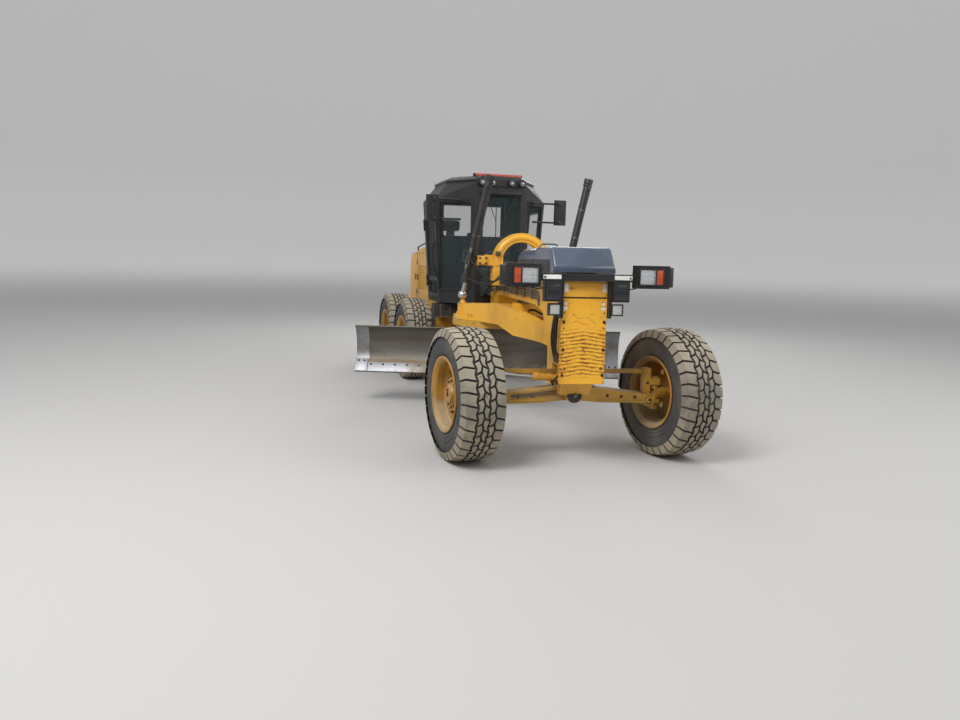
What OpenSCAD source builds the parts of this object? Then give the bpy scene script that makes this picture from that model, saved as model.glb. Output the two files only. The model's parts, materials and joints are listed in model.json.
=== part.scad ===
// Motor grader: rear frame with cab and engine, hinged front frame with nose,
// drawbar, circle and blade. Front axle at y = 0 before placing, +X is the
// machine's left, -Y is forward, the floor is z = 0. Millimetres.

/* [Wheels] */
// Outer diameter of the tyres over the lugs
tyre_d = 1370; // [1300:5:1420]
// Width of the tyres
tyre_w = 450; // [380:5:470]
// Distance between the centres of the front wheels
front_track = 2220; // [2100:10:2260]
// Distance between the centres of the rear wheels
rear_track = 2060; // [2040:10:2200]

/* [Chassis] */
// Distance from the front axle to the tandem's centre
wheelbase = 6280; // [6250:10:6400]
// Distance between the two axles of the tandem
tandem_spacing = 1570; // [1500:5:1640]
// Width of the front frame's beam
beam_w = 300; // [260:10:330]

// Angle at which the frames stand folded at their hinge, tail to the right, in degrees
articulation = 8; // [0:1:20]
// Angle that the front wheels are steered to the left, in degrees
steer = 12; // [0:1:20]

/* [Cab] */
// Half width of the cab at its widest, under the roof
cab_hw = 920; // [880:5:950]
// Half width of the cab's front wall
cab_front = 410; // [380:5:440]
// Height of the cab's roof over the floor
roof_z = 3300; // [3270:5:3400]

/* [Blade] */
// Length of the blade
blade_len = 3658; // [3000:10:3700]
// Angle of the blade to the drawbar, in degrees
blade_angle = 14; // [8:1:20]
// Angle that the drawbar swings to the machine's right, in degrees
bar_swing = 2.5; // [0:0.5:4]
// Distance that the blade stands shifted to the right
blade_shift = 330; // [0:10:350]

/* [Hidden] */
$fn = 48;

r_tyre = tyre_d / 2;
z_axle = r_tyre;
x_fw = front_track / 2;
x_rw = rear_track / 2;
y_tan = wheelbase;
y_mid = wheelbase - tandem_spacing / 2;
y_rear = wheelbase + tandem_spacing / 2;
y_tail = y_rear + 1095;
beam_x = beam_w / 2;

// Front axle: centre pin, lean pins, kingpins
z_pin = 700;
x_lean = x_fw - 250;
z_lean = 620;
z_ear = 905;
x_king = x_fw - 170;
y_arm = 190;
z_arm = 533;
z_tie = 582;

// Hinge between the frames, saddle and drawbar
y_hinge = 3850;
y_saddle = 2560;
z_trun = 2050;
x_trun = 680;
ball = [0, 330, 930];
y_stud = 2600;
z_stud = 1560;
y_circle = 2620;
z_tip = 660;
y_tip = 330;
stud = [x_trun, y_stud, z_stud];

// Cab stations along y
cab_f = 4020;
cab_c = 4560;
cab_r = 5560;
cab_z = 1350;
door_f = cab_c + 50;
cab_taper = 110;
door_r = 5330;

// Placing: the box of the whole machine is centred over the origin
swing_x = -sin(bar_swing) * (y_circle - ball.y);
blade_a = blade_angle - bar_swing;
blade_c = swing_x - cos(blade_a) * blade_shift + sin(blade_a) * 200;
blade_half = blade_len / 2 * cos(blade_a);
tyre_out = [x_rw + tyre_w / 2, y_rear - y_hinge + r_tyre];
left_x = max(blade_c + blade_half,
    x_king + (x_fw - x_king + tyre_w / 2 - 12) * cos(steer) + r_tyre * sin(steer));
right_x = min(blade_c - blade_half, -tyre_out.x * cos(articulation) - tyre_out.y * sin(articulation));
mid_x = (left_x + right_x) / 2;
tail_y = y_hinge + max(600 * sin(articulation) + (y_tail - 110 - y_hinge) * cos(articulation),
    60 * sin(articulation) + (y_tail - y_hinge) * cos(articulation));
mid_y = (tail_y - r_tyre * cos(steer) - (x_fw - x_king + tyre_w / 2 - 12) * sin(steer)) / 2;

module place() { translate([-mid_x, -mid_y, 0]) children(); }
// The rear frame, folded at the hinge
module place_rear() {
    place() translate([0, y_hinge, 0]) rotate([0, 0, articulation]) translate([0, -y_hinge, 0])
        children();
}
function rear_pt(p) = let (d = p - [0, y_hinge, 0]) [
    d.x * cos(articulation) - d.y * sin(articulation),
    y_hinge + d.x * sin(articulation) + d.y * cos(articulation), p.z];
module box(x, y, z) {
    translate([x[0], y[0], z[0]])
        cube([x[1] - x[0], y[1] - y[0], z[1] - z[0]]);
}
// The same on both sides of the machine
module pair() { children(); mirror([1, 0, 0]) children(); }
module cyl_x(p, d, h) { translate(p) rotate([0, 90, 0]) cylinder(h = h, d = d, center = true); }
module cyl_y(p, d, h) { translate(p) rotate([90, 0, 0]) cylinder(h = h, d = d, center = true); }
module cyl_z(p, d, h) { translate(p) cylinder(h = h, d = d, center = true); }
// A side profile of [y, z] points between two x planes
module side(x, pts) {
    translate([x[0], 0, 0]) rotate([90, 0, 90]) linear_extrude(x[1] - x[0]) polygon(pts);
}
// A front profile of [x, z] points between two y planes
module front(y, pts) {
    translate([0, y[1], 0]) rotate([90, 0, 0]) linear_extrude(y[1] - y[0]) polygon(pts);
}
// A plan profile of [x, y] points between two z planes
module plan(z, pts) { translate([0, 0, z[0]]) linear_extrude(z[1] - z[0]) polygon(pts); }
// Aims +Z at q from p
module aim(p, q) {
    v = q - p;
    translate(p) rotate([0, acos(v.z / norm(v)), atan2(v.y, v.x)]) children();
}
module bar(p, q, d) { aim(p, q) cylinder(h = norm(q - p), d = d); }

// Wheels
// A steered piece, turned about its kingpin
module turned(s) {
    place() translate([s * x_king, 0, 0]) rotate([0, 0, steer]) translate([-s * x_king, 0, 0])
        children();
}
function arm_pt(s, z) = [s * x_king - y_arm * sin(steer), y_arm * cos(steer), z];
module front_wheel_at(s) { turned(s) translate([s * x_fw, 0, z_axle]) children(); }
module rear_wheel_at(x, y) { place_rear() translate([x, y, z_axle]) children(); }
module tyre(side_of) {
    hw = tyre_w / 2;
    r_rim = 352.3;
    deep = 34;
    lugs = 18;
    color("dimgray") rotate([0, 90 * side_of, 0]) {
        rotate_extrude() polygon([
            [r_rim, -hw + 40], [r_rim + 60, -hw + 12], [r_tyre - 190, -hw],
            [r_tyre - 70, -hw + 18], [r_tyre - deep, -hw + 75],
            [r_tyre - deep + 4, 0], [r_tyre - deep, hw - 75],
            [r_tyre - 70, hw - 18], [r_tyre - 190, hw], [r_rim + 60, hw - 12],
            [r_rim, hw - 40]]);
        difference() {
            for (i = [0 : lugs - 1], s = [-1, 1])
                rotate([0, 0, (i + (s > 0 ? 0.5 : 0)) * 360 / lugs])
                    translate([r_tyre - 110, 0, s * (hw * 0.5 + 6)])
                        rotate([s * 18, 0, 0])
                            cube([220, 88, hw * 0.92], center = true);
            difference() {
                cylinder(r = r_tyre + 200, h = 2 * tyre_w, center = true);
                cylinder(r = r_tyre, h = tyre_w - 24, center = true);
            }
        }
    }
}
module rim(side_of, drive) {
    hw = tyre_w / 2;
    color("goldenrod") rotate([0, 90 * side_of, 0]) difference() {
        union() {
            difference() {
                rotate_extrude() polygon([
                    [352, -hw + 38], [352, hw - 38], [386, hw - 20], [386, hw - 6],
                    [370, hw - 6], [330, hw - 46], [330, -hw + 46], [370, -hw + 6],
                    [386, -hw + 6], [386, -hw + 20]]);
            }
            translate([0, 0, 55]) difference() {
                cylinder(r = 332, h = 26);
                for (i = [0 : 7]) rotate([0, 0, i * 45]) translate([256, 0, -5]) cylinder(d = 64, h = 50);
            }
            translate([0, 0, 55]) cylinder(d = 340, h = 70);
            if (drive) translate([0, 0, -hw + 100]) cylinder(d = 260, h = hw);
        }
        translate([0, 0, -hw]) cylinder(d = 91, h = hw + 90);
    }
}

// Rear frame
module rear_chassis() {
    place_rear() color("goldenrod") {
        difference() {
            union() {
                // Tongue in front of the cab, and the neck under its floor
                side([-140, 140], [
                    [3850, 1215], [4500, 1180], [4790, 1130], [4870, 800], [5060, 760],
                    [5060, 1110], [4900, 1330], [4012, 1330], [3990, 1545], [3850, 1545]]);
                cyl_z([0, y_hinge, 1380], 280, 330);
                // Cross member that carries the turning cylinders
                box([-520, 520], [4330, 4460], [1190, 1256]);
                pair() side([230, 300], [
                    [4440, 1190], [4800, 1130], [4880, 780], [y_tail - 200, 780],
                    [y_tail - 200, 1100], [5020, 1100], [4920, cab_z], [4440, cab_z]]);
                box([-240, 240], [4900, 5020], [800, 1080]);
                box([-240, 240], [y_rear + 500, y_rear + 560], [800, 1080]);
                // Axle housing across the tandem
                cyl_x([0, y_tan, 760], 430, 2 * (x_rw - 400));
                box([-240, 240], [y_tan - 300, y_tan + 300], [820, 1100]);
                // Tail plate with its tow clevis
                front([y_tail - 200, y_tail - 110], [
                    [-600, 700], [600, 700], [600, 1240], [520, 1330], [-520, 1330], [-600, 1240]]);
                for (z = [790, 900])
                    plan([z, z + 40], [[-120, y_tail - 150], [120, y_tail - 150],
                        [60, y_tail], [-60, y_tail]]);
            }
            cyl_z([0, y_hinge, 1380], 110.6, 400);
            cyl_z([0, y_tail - 50, 865], 45, 200);
            pair() cyl_z([430, 4390, 1230], 50.6, 200);
        }
    }
}
module tandem_cases() {
    place_rear() color("goldenrod") pair() {
        difference() {
            hull() for (y = [y_mid, y_tan, y_rear])
                translate([x_rw - 400, y, z_axle]) rotate([0, 90, 0])
                    cylinder(h = 140, d = y == y_tan ? 560 : 420, $fn = 32);
            for (y = [y_mid, y_rear]) cyl_x([x_rw - 270, y, z_axle], 300, 90);
        }
        for (y = [y_mid, y_rear]) {
            cyl_x([x_rw - 290, y, z_axle], 250, 130);
            cyl_x([x_rw - 70, y, z_axle], 90, 310);
        }
    }
}
module engine() {
    place_rear() color("dimgray") {
        box([-330, 330], [5850, 7250], [1100, 1900]);
        bar([260, 6000, 1880], [260, 6000, 2950], 130);
        bar([-260, 6050, 1880], [-260, 6050, 2560], 150);
        cyl_z([-260, 6050, 2620], 300, 180);
    }
}
module engine_hood() {
    outer = [[5620, 1150], [y_tail - 200, 1150], [y_tail - 200, 1900], [y_tail - 300, 2090],
        [7100, 2200], [5620, 2330]];
    inner = [[5590, 1100], [y_tail - 245, 1100], [y_tail - 245, 1885], [y_tail - 325, 2058],
        [7097, 2168], [5590, 2300]];
    place_rear() color("gold") difference() {
        side([-575, 575], outer);
        side([-543, 543], inner);
        cyl_z([260, 6000, 2250], 160, 400);
        cyl_z([-260, 6050, 2250], 180, 400);
        // Louvres in the sides and the tail grille
        for (i = [0 : 6]) box([-700, 700], [6350 + i * 130, 6420 + i * 130], [1450, 1900]);
        for (i = [0 : 9]) box([-430, 430], [y_tail - 400, y_tail - 100], [1330 + i * 55, 1360 + i * 55]);
    }
}

// Cab
// Plan outline of the cab at a height where its half width is w
function cab_plan(w, in) = let (f = cab_front - (cab_hw - w) * 0.2) [
    [-f + in, cab_f + in], [f - in, cab_f + in], [w - in, cab_c + in * 0.6],
    [w - in, door_r - in * 0.2], [w - 120 - in, cab_r - in], [-w + 120 + in, cab_r - in],
    [-w + in, door_r - in * 0.2], [-w + in, cab_c + in * 0.6]];
cab_top = roof_z - 100;
cab_wide = cab_top - 250;
module cab_solid(in, z0, z1) {
    hull() {
        translate([0, 0, z0]) linear_extrude(0.1) polygon(cab_plan(cab_hw - cab_taper, in));
        translate([0, 0, cab_wide]) linear_extrude(0.1) polygon(cab_plan(cab_hw, in));
    }
    hull() {
        translate([0, 0, cab_wide]) linear_extrude(0.1) polygon(cab_plan(cab_hw, in));
        translate([0, 0, z1]) linear_extrude(0.1) polygon(cab_plan(cab_hw - 200, in));
    }
}
// Hinge line of a door, just outside its tapered wall
hinge_tilt = atan(cab_taper / (cab_wide - cab_z));
module at_hinge(z) {
    translate([cab_hw - cab_taper + (z - cab_z) * cab_taper / (cab_wide - cab_z), door_r - 64, z])
        rotate([0, hinge_tilt, 0]) children();
}
module cab_shell() {
    difference() {
        cab_solid(0, cab_z, cab_top);
        cab_solid(50, cab_z - 20, cab_top + 20);
    }
}
// Openings for the panes, each cut right through one wall
module front_hole(g) {
    w = cab_front - 90 - g;
    box([-w, w], [cab_f - 60, cab_f + 200], [1480 + g, cab_wide + 60 - g]);
}
module corner_holes(g) {
    side_w = cab_hw - 40 - cab_front;
    half = norm([side_w, cab_c - cab_f]) / 2 - 75 - g;
    pair() translate([cab_front + side_w / 2 - 8, (cab_f + cab_c) / 2, 0])
        rotate([0, 0, atan2(cab_c - cab_f, side_w)])
            box([-half, half], [-160, 160], [1560 + g, cab_wide - 50 - g]);
}
module rear_hole(g) {
    box([-520 + g, 520 - g], [cab_r - 200, cab_r + 60], [2420 + g, cab_wide - g]);
}
module door_hole() {
    pair() box([300, cab_hw + 80], [door_f, door_r - 60], [cab_z + 60, cab_wide - 60]);
}
module door_pane(g) {
    pair() box([300, cab_hw + 80], [door_f + 70 + g, door_r - 130 - g], [1750 + g, cab_wide - 130 - g]);
}
module low_pane(g) {
    pair() box([300, cab_hw + 80], [door_f + 70 + g, door_r - 130 - g], [cab_z + 130 + g, 1690 - g]);
}
module cab_frame() {
    place_rear() color("black") {
        difference() {
            cab_shell();
            front_hole(0);
            corner_holes(0);
            rear_hole(0);
            door_hole();
        }
        pair() for (z = [1650, 2550]) at_hinge(z) for (h = [-60, 60.3]) translate([0, 0, h]) {
            translate([18, 0, 0]) cylinder(d = 28, h = 59.7);
            translate([-20, 12, 0]) cube([34, 40, 59.7]);
            translate([4, 4, 0]) cube([14, 20, 59.7]);
        }
        // Floor and the base under it
        difference() {
            plan([cab_z, cab_z + 40], cab_plan(cab_hw - cab_taper, 45));
            box([-30, 30], [4500, 4560], [1300, 1400]);
        }
        pair() side([320, 600], [[4500, 1180], [5500, 1180], [5500, cab_z], [4470, cab_z], [4470, 1250]]);
    }
}
module cab_roof() {
    place_rear() color("black") {
        hull() {
            plan([cab_top + 0.1, cab_top + 2], cab_plan(cab_hw - 200, 0));
            plan([roof_z - 60, roof_z - 58], cab_plan(cab_hw - 190, 0));
            plan([roof_z - 1, roof_z], cab_plan(cab_hw - 230, 60));
        }
    }
}
module cab_glass() {
    place_rear() color("lightblue") intersection() {
        difference() { cab_solid(16, cab_z, cab_top); cab_solid(22, cab_z - 20, cab_top + 20); }
        union() { front_hole(0); corner_holes(0); rear_hole(0); }
    }
}
module door(s) {
    place_rear() color("black") intersection() {
        scale_x(s) difference() {
            intersection() {
                cab_shell();
                box([300, cab_hw + 80], [door_f + 8, door_r - 68], [cab_z + 68, cab_wide - 68]);
            }
            door_pane(0);
            low_pane(0);
        }
    }
    place_rear() color("black") scale_x(s) for (z = [1650, 2550]) at_hinge(z) {
        translate([18, 0, 0]) cylinder(d = 28, h = 60);
        translate([-20, -52, 0]) cube([34, 40, 60]);
        translate([4, -24, 0]) cube([14, 20, 60]);
    }
}
module scale_x(s) { if (s > 0) children(); else mirror([1, 0, 0]) children(); }
module door_glass(s) {
    place_rear() color("lightblue") scale_x(s) intersection() {
        difference() { cab_solid(16, cab_z, cab_top); cab_solid(22, cab_z - 20, cab_top + 20); }
        intersection() {
            union() { door_pane(0); low_pane(0); }
            box([300, cab_hw + 80], [cab_f, cab_r], [cab_z, cab_top]);
        }
    }
}
module operator_seat() {
    place_rear() color("dimgray") {
        box([-240, 240], [4900, 5380], [1780, 1900]);
        side([-230, 230], [[5340, 1900], [5400, 1900], [5490, 2480], [5400, 2500], [5330, 2300]]);
        box([-150, 150], [4980, 5300], [cab_z + 40, 1780]);
    }
}
module control_console() {
    place_rear() color("dimgray") {
        front([4260, 4340], [[-70, cab_z + 40], [70, cab_z + 40], [60, 2000], [-60, 2000]]);
        bar([0, 4300, 1900], [0, 4390, 2060], 46);
        translate([0, 4390, 2060]) rotate([-32, 0, 0]) {
            difference() {
                cylinder(d = 410, h = 30, center = true);
                cylinder(d = 356, h = 60, center = true);
            }
            cylinder(d = 80, h = 34, center = true);
            for (a = [30, 150, 270]) rotate([0, 0, a]) translate([20, -14, -6]) cube([168, 28, 13]);
        }
        pair() side([290, 380], [[4900, cab_z + 40], [5300, cab_z + 40], [5300, 1980],
            [4850, 2040], [4760, 1990]]);
    }
}
module cab_lights() {
    place_rear() color("black") {
        // Work lamps in a fascia under the roof's edge, and the flat beacon on top
        box([20 - cab_front, cab_front - 20], [cab_f - 22, cab_f], [cab_top - 60, cab_top + 45]);
        for (x = [-320, -150, 150, 320]) difference() {
            cyl_y([x, cab_f - 46, cab_top - 8], 96, 60);
            cyl_y([x, cab_f - 76, cab_top - 8], 82, 20);
        }
        box([-380, 380], [cab_f + 150, cab_f + 260], [roof_z, roof_z + 42]);
    }
}
// A point on the cab's slanted corner at height z, stood off along its normal
function corner_pt(t, z, off) = let (
    u = (z - cab_z) / (cab_wide - cab_z),
    f = cab_front - cab_taper * 0.2,
    w = cab_hw - cab_taper,
    x = f + t * (w - f) + u * cab_taper * 0.2 + min(t, u) * cab_taper * 0.8,
    d = [w - f + (t < u ? cab_taper * 0.8 : 0), cab_c - cab_f],
    n = [d.y, -d.x] / norm(d)) [x + off * n.x, cab_f + t * d.y + off * n.y, z];
mirror_x = 1010;
mirror_y = 4180;
module rails_and_mirrors() {
    place_rear() color("black") pair() {
        for (z = [2640, 2930]) {
            translate(corner_pt(0.35, z, 22)) sphere(d = 40, $fn = 24);
            bar(corner_pt(0.35, z, 22), [mirror_x, mirror_y + 10, z], 30);
        }
        box([mirror_x - 60, mirror_x + 120], [mirror_y - 30, mirror_y + 30], [2600, 2990]);
        bar(corner_pt(0.92, 1560, 70), corner_pt(0.92, 2300, 70), 28);
        for (z = [1600, 2260]) {
            translate(corner_pt(0.92, z, 17)) sphere(d = 30, $fn = 24);
            bar(corner_pt(0.92, z, 17), corner_pt(0.92, z, 70), 22);
        }
    }
}
module side_tanks() {
    place_rear() color("dimgray") pair() {
        // A flat tank under the cab's step, and the ladder that hangs beside it
        box([600.3, 860], [4520, 4790], [1135, 1330]);
        for (z = [480, 760, 1040]) difference() {
            box([880, 990], [4600, 4780], [z, z + 30]);
            for (y = [4640, 4700]) box([905, 965], [y, y + 30], [z - 5, z + 35]);
        }
        box([860, 880], [4590, 4790], [470, 1330]);
    }
}

// Front frame
module main_frame() {
    place() color("gold") difference() {
        union() {
            side([-beam_x, beam_x], [
                [-430, 900], [-430, 1840], [-300, 1900], [2900, 1900], [3500, 1880], [3720, 1620],
                [3850, 1620], [3850, 1550], [3690, 1550], [3690, 1205], [3850, 1205], [3850, 1150],
                [3600, 1150],
                [3350, 1540], [1000, 1540], [620, 1480], [420, 1300],
                [330, 1080], [330, 860], [240, 700], [105, 700], [105, 985], [-105, 985],
                [-105, 700], [-250, 700]]);
            // Lugs and pin of the front axle
            cyl_y([0, -177.5, z_pin], 170, 145);
            cyl_y([0, 172.5, z_pin], 170, 135);
            cyl_y([0, 0, z_pin], 90, 300);
            cyl_z([0, y_hinge, 1380], 110, 460);
            cyl_z([0, y_hinge, 1585], 290, 70);
            cyl_z([0, y_hinge, 1177.5], 290, 55);
            // Brackets of the turning cylinders
            pair() box([beam_x - 5, beam_x + 120], [3440, 3560], [1255, 1275.7]);
            // Saddle arch over the beam, with its arms out to the trunnions
            translate([0, y_saddle + 70, 2010]) rotate([90, 0, 0]) linear_extrude(140)
                difference() {
                    circle(r = 390);
                    circle(r = 270);
                    translate([-500, -600]) square([1000, 490]);
                }
            pair() side([beam_x - 10, 395], [[y_saddle - 90, 1700], [y_saddle + 90, 1700],
                [y_saddle + 90, 1930], [y_saddle - 90, 1930]]);
            pair() box([255, x_trun - 80.3], [y_saddle - 70, y_saddle + 70], [1960, 2090]);
        }
        translate(ball) sphere(d = 150.6);
    }
}
module push_plate() {
    place() color("goldenrod") difference() {
        front([-480, -430], [[-225, 850], [225, 850], [225, 1850], [-225, 1850]]);
        for (x = [-185, 185], z = [1000, 1640]) cyl_y([x, -455, z], 36, 200);
    }
}
module nose_hood() {
    place() color("slategray") difference() {
        side([-310, 310], [[-440, 1935], [-440, 1990], [-330, 2150], [-240, 2180], [1150, 2180],
            [1250, 2120], [1290, 1900], [-300, 1900]]);
        side([-285, 285], [[-415, 1890], [-415, 1985], [-318, 2128], [-236, 2155], [1140, 2155],
            [1226, 2100], [1260, 1890]]);
    }
}
module light_bar() {
    place() color("black") {
        box([-470, 470], [-560, -480], [1855, 1925]);
        pair() {
            box([470, 800], [-600, -470], [1795, 2015]);
            box([250, 420], [-560, -460], [1660, 1860]);
            box([250, 370], [-530, -470], [1525, 1640]);
            box([225, 255], [-530, -440], [1500, 1860]);
        }
    }
}

// Cylinders
// A barrel from p towards q, open at its gland for a rod of diameter rod_d
module barrel(p, q, len, d, rod_d, eye) {
    aim(p, q) difference() {
        union() {
            translate([0, 0, eye]) cylinder(h = len - eye, d = d);
            translate([0, 0, len - 50]) cylinder(h = 50, d = d + 16);
        }
        translate([0, 0, eye + 40]) cylinder(h = len - eye - 80, d = rod_d + 8);
        translate([0, 0, eye + 50]) cylinder(h = len, d = rod_d + 0.6);
    }
}
turn_p = [430, 4390, 1300];
turn_q = [beam_x + 70, 3500, 1300];
function turn_end(s) = rear_pt([s * turn_p.x, turn_p.y, turn_p.z]);
module turn_barrel(s) {
    p = turn_end(s);
    place() color("dimgray") {
        barrel(p, [s * turn_q.x, turn_q.y, turn_q.z], 560, 84, 44, 30);
        cyl_z(p, 90, 87.4);
        cyl_z([p.x, p.y, 1245], 50, 120);
    }
}
module turn_rod(s) {
    q = [s * turn_q.x, turn_q.y, turn_q.z];
    place() color("silver") {
        aim(q, turn_end(s)) cylinder(h = 650, d = 44);
        cyl_z(q, 80, 48);
    }
}

// The barrels of the blade's lift hang in yokes at the saddle's arm ends
swing_dx = -sin(bar_swing) * (y_stud - ball.y);
function stud_at(s) = [s * x_trun * cos(bar_swing) + swing_dx,
    ball.y + (y_stud - ball.y) * cos(bar_swing) - s * x_trun * sin(bar_swing), z_stud];
function trun_at(s) = [s * x_trun, y_saddle, z_trun];
lift_up = 1110;
lift_len = 1440;
module lift_barrel(s) {
    p = trun_at(s);
    q = stud_at(s);
    u = (p - q) / norm(p - q);
    top = p + u * lift_up;
    place() color("dimgray") {
        aim(top, q) difference() {
            union() {
                cylinder(h = lift_len, d = 100);
                cylinder(h = 60, d = 120);
                translate([0, 0, lift_len - 60]) cylinder(h = 60, d = 120);
                translate([0, 0, lift_up - 70]) cylinder(h = 140, d = 130);
            }
            translate([0, 0, 50]) cylinder(h = lift_len - 100, d = 64);
            translate([0, 0, 60]) cylinder(h = lift_len, d = 56.6);
        }
        difference() {
            union() {
                bar(p, p - [s * 40, 0, 0], 70);
                translate(p - [s * 40, 0, 0]) sphere(d = 80);
            }
            aim(top, q) cylinder(h = lift_len, d = 90);
        }
    }
}
module lift_rod(s) {
    p = trun_at(s);
    q = stud_at(s);
    place() color("silver") {
        aim(q, p) cylinder(h = 1444, d = 56);
        translate(q) sphere(d = 120);
    }
}

// Drawbar, circle and blade
module at_bar() { translate(ball) rotate([0, 0, bar_swing]) translate(-ball) children(); }
module at_circle() {
    at_bar() translate([0, y_circle, 0]) rotate([0, 0, -blade_angle]) children();
}
// Upper edge of the drawbar, an arch from the circle down to the ball
neck = [for (a = [90 : 10 : 180]) [1900 + 1480 * cos(a), 1070 + 420 * sin(a)]];
module drawbar() {
    place() color("gold") at_bar() {
        translate(ball) sphere(d = 150);
        // Two deep legs, cut from a side profile and a plan
        intersection() {
            side([-900, 900], concat([[365, 880], [432, 890], [446, 1040], [480, 1118],
                [900, 1140], [1250, 1150], [1600, 1250], [2800, 1250], [2800, 1440]], neck));
            plan([800, 1600], [[-90, 350], [90, 350], [130, 700], [700, 2450], [700, 2720],
                [600, 2720], [600, 2480], [70, 860], [-70, 860], [-600, 2480],
                [-600, 2720], [-700, 2720], [-700, 2450], [-130, 700]]);
        }
        box([-650, 650], [2560, 2720], [1260, 1450]);
        box([-500, 500], [1950, 2090], [1260, 1330]);
        difference() {
            translate([0, y_circle, 1252]) cylinder(r = 790, h = 40, $fn = 120);
            translate([0, y_circle, 1200]) cylinder(r = 560, h = 140, $fn = 120);
        }
        bar(ball, ball + [0, 90, 0], 90);
        translate([0, y_circle - 540, 1280]) cylinder(d = 240, h = 210);
        pair() {
            translate(stud - [0, 0, 150]) cylinder(d = 54, h = 89.7);
            box([x_trun - 100, x_trun + 60], [y_stud - 60, y_stud + 60], [1290, 1450]);
        }
    }
}
module circle_ring() {
    place() color("goldenrod") at_circle() {
        difference() {
            translate([0, 0, 1165]) cylinder(r = 800, h = 84.7, $fn = 120);
            translate([0, 0, 1100]) cylinder(r = 640, h = 200, $fn = 120);
            for (i = [0 : 35]) rotate([0, 0, i * 10 + 5]) translate([620, -26, 1150])
                cube([52, 52, 150]);
        }
        pair() difference() {
            union() {
                side([685, 735], [[246, 1166], [330, 1166], [500, 1125], [900, 1125],
                    [915, 1045], [520, 900], [460, 760], [400, 580], [260, 580], [256, 700]]);
            }
            cyl_x([710, y_tip, z_tip], 70.6, 200);
        }
        bar([-690, 870, 1085], [690, 870, 1085], 80);
        pair() box([29.3, 60], [765, 870], [1048, 1122]);
    }
}
module blade_carrier() {
    place() color("goldenrod") at_circle() {
        pair() {
            difference() {
                union() {
                    side([615, 675], [[230, 1000], [300, 1000], [410, 720], [410, 600], [230, 590]]);
                    box([545, 675], [210.3, 300], [600, 680]);
                    box([545, 675], [210.3, 300], [900, 980]);
                }
            }
            cyl_x([705, y_tip, z_tip], 70, 120);
        }
        bar([-645, 320, 925], [645, 320, 925], 70);
        pair() box([29.3, 60], [285, 370], [925, 1040]);
    }
}
tip_p = [0, 800, 1085];
tip_q = [0, 330, 1010];
module tip_barrel() {
    place() color("dimgray") at_circle() {
        barrel(tip_p, tip_q, 400, 74, 38, 52);
        bar(tip_p, tip_p + (tip_q - tip_p) * 0.13, 44);
        cyl_x(tip_p, 50, 58);
    }
}
module tip_rod() {
    place() color("silver") at_circle() {
        bar(tip_q, tip_q + (tip_p - tip_q) * 0.716, 38);
        cyl_x(tip_q, 40, 58);
    }
}
arc_y = -280;
arc_z = 790;
arc_r = 430;
module at_blade() { at_circle() translate([-blade_shift, 0, 0]) children(); }
module moldboard() {
    h = blade_len / 2;
    place() color("slategray") at_blade() {
        intersection() {
            translate([-h, arc_y, arc_z]) rotate([90, 0, 90]) linear_extrude(2 * h) difference() {
                circle(r = arc_r + 22);
                circle(r = arc_r);
            }
            box([-h, h], [19, 300], [481, 1099]);
        }
        for (z = [610, 910]) box([-h + 200, h - 200], [142, 210], [z, z + 60]);
    }
}
module cutting_edge() {
    h = blade_len / 2;
    place() color("gray") at_blade()
        side([-h, h], [[-4.6, 448.2], [110.1, 611.5], [94.6, 622.4], [-20.1, 459.1]]);
}

// Front axle
module front_axle() {
    place() color("goldenrod") {
        difference() {
            union() {
                front([-95, 95], [
                    [-x_lean - 50, z_lean - 40], [-300, 595], [0, 625], [300, 595],
                    [x_lean + 50, z_lean - 40], [x_lean + 50, z_lean + 45],
                    [300, 740], [0, 780], [-300, 740], [-x_lean - 50, z_lean + 45]]);
                // Bracket of the lean cylinder
                box([60, 130], [-92, -66], [700, 860]);
                box([60, 130], [10, 34], [700, 860]);
            }
            cyl_y([0, 0, z_pin], 90.6, 400);
            pair() cyl_y([x_lean, 0, z_lean], 60.6, 400);
            pair() box([x_lean - 70, x_lean + 100], [-62, 62], [500, 800]);
        }
    }
}
module lean_carrier(s) {
    place() scale_x(s) color("goldenrod") difference() {
        union() {
            side([x_lean - 48, x_lean + 20], [[-57, z_lean - 48], [57, z_lean - 48],
                [57, z_ear + 40], [-57, z_ear + 40]]);
            box([x_lean, x_king + 45], [-57, 57], [770, 840]);
            box([x_lean, x_king + 45], [-57, 57], [z_lean - 48, z_lean - 5]);
            cyl_z([x_king, 0, 805], 110, 70);
            cyl_z([x_king, 0, z_lean - 26], 110, 43);
            cyl_y([x_lean, 0, z_lean], 60, 200);
        }
        cyl_z([x_king, 0, 700], 50.6, 500);
        box([x_lean - 80, x_lean + 80], [20, 47], [z_ear - 50, z_ear + 60]);
        if (s < 0) box([x_lean - 80, x_lean + 80], [-47.3, -8.7], [z_ear - 50, z_ear + 60]);
    }
    place() scale_x(s) color("goldenrod") cyl_y([x_lean, 33.5, z_ear], 40, 30);
}
module knuckle(s) {
    turned(s) scale_x(s) color("goldenrod") {
        cyl_z([x_king, 0, 692], 96, 144);
        cyl_x([x_king + 60, 0, z_axle], 130, 90);
        cyl_z([x_king, 0, 674], 50, 338);
        cyl_x([(x_king + 90 + x_fw + 85) / 2, 0, z_axle], 90, x_fw + 85 - x_king - 90);
        cyl_z([x_king, 0, z_arm], 90, 50);
        difference() {
            union() {
                plan([z_arm - 16, z_arm + 16], [[x_king - 40, 0], [x_king + 40, 0],
                    [x_king + 24, y_arm], [x_king - 24, y_arm]]);
                cyl_z([x_king, y_arm, z_arm], 60, 34);
            }
            if (s < 0) cyl_z([x_king, y_arm, z_arm], 32.6, 60);
        }
        if (s > 0) {
            cyl_z([x_king, y_arm, (z_arm + z_tie) / 2], 18, z_tie - z_arm);
            translate([x_king, y_arm, z_tie]) sphere(d = 34);
        }
    }
}
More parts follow.
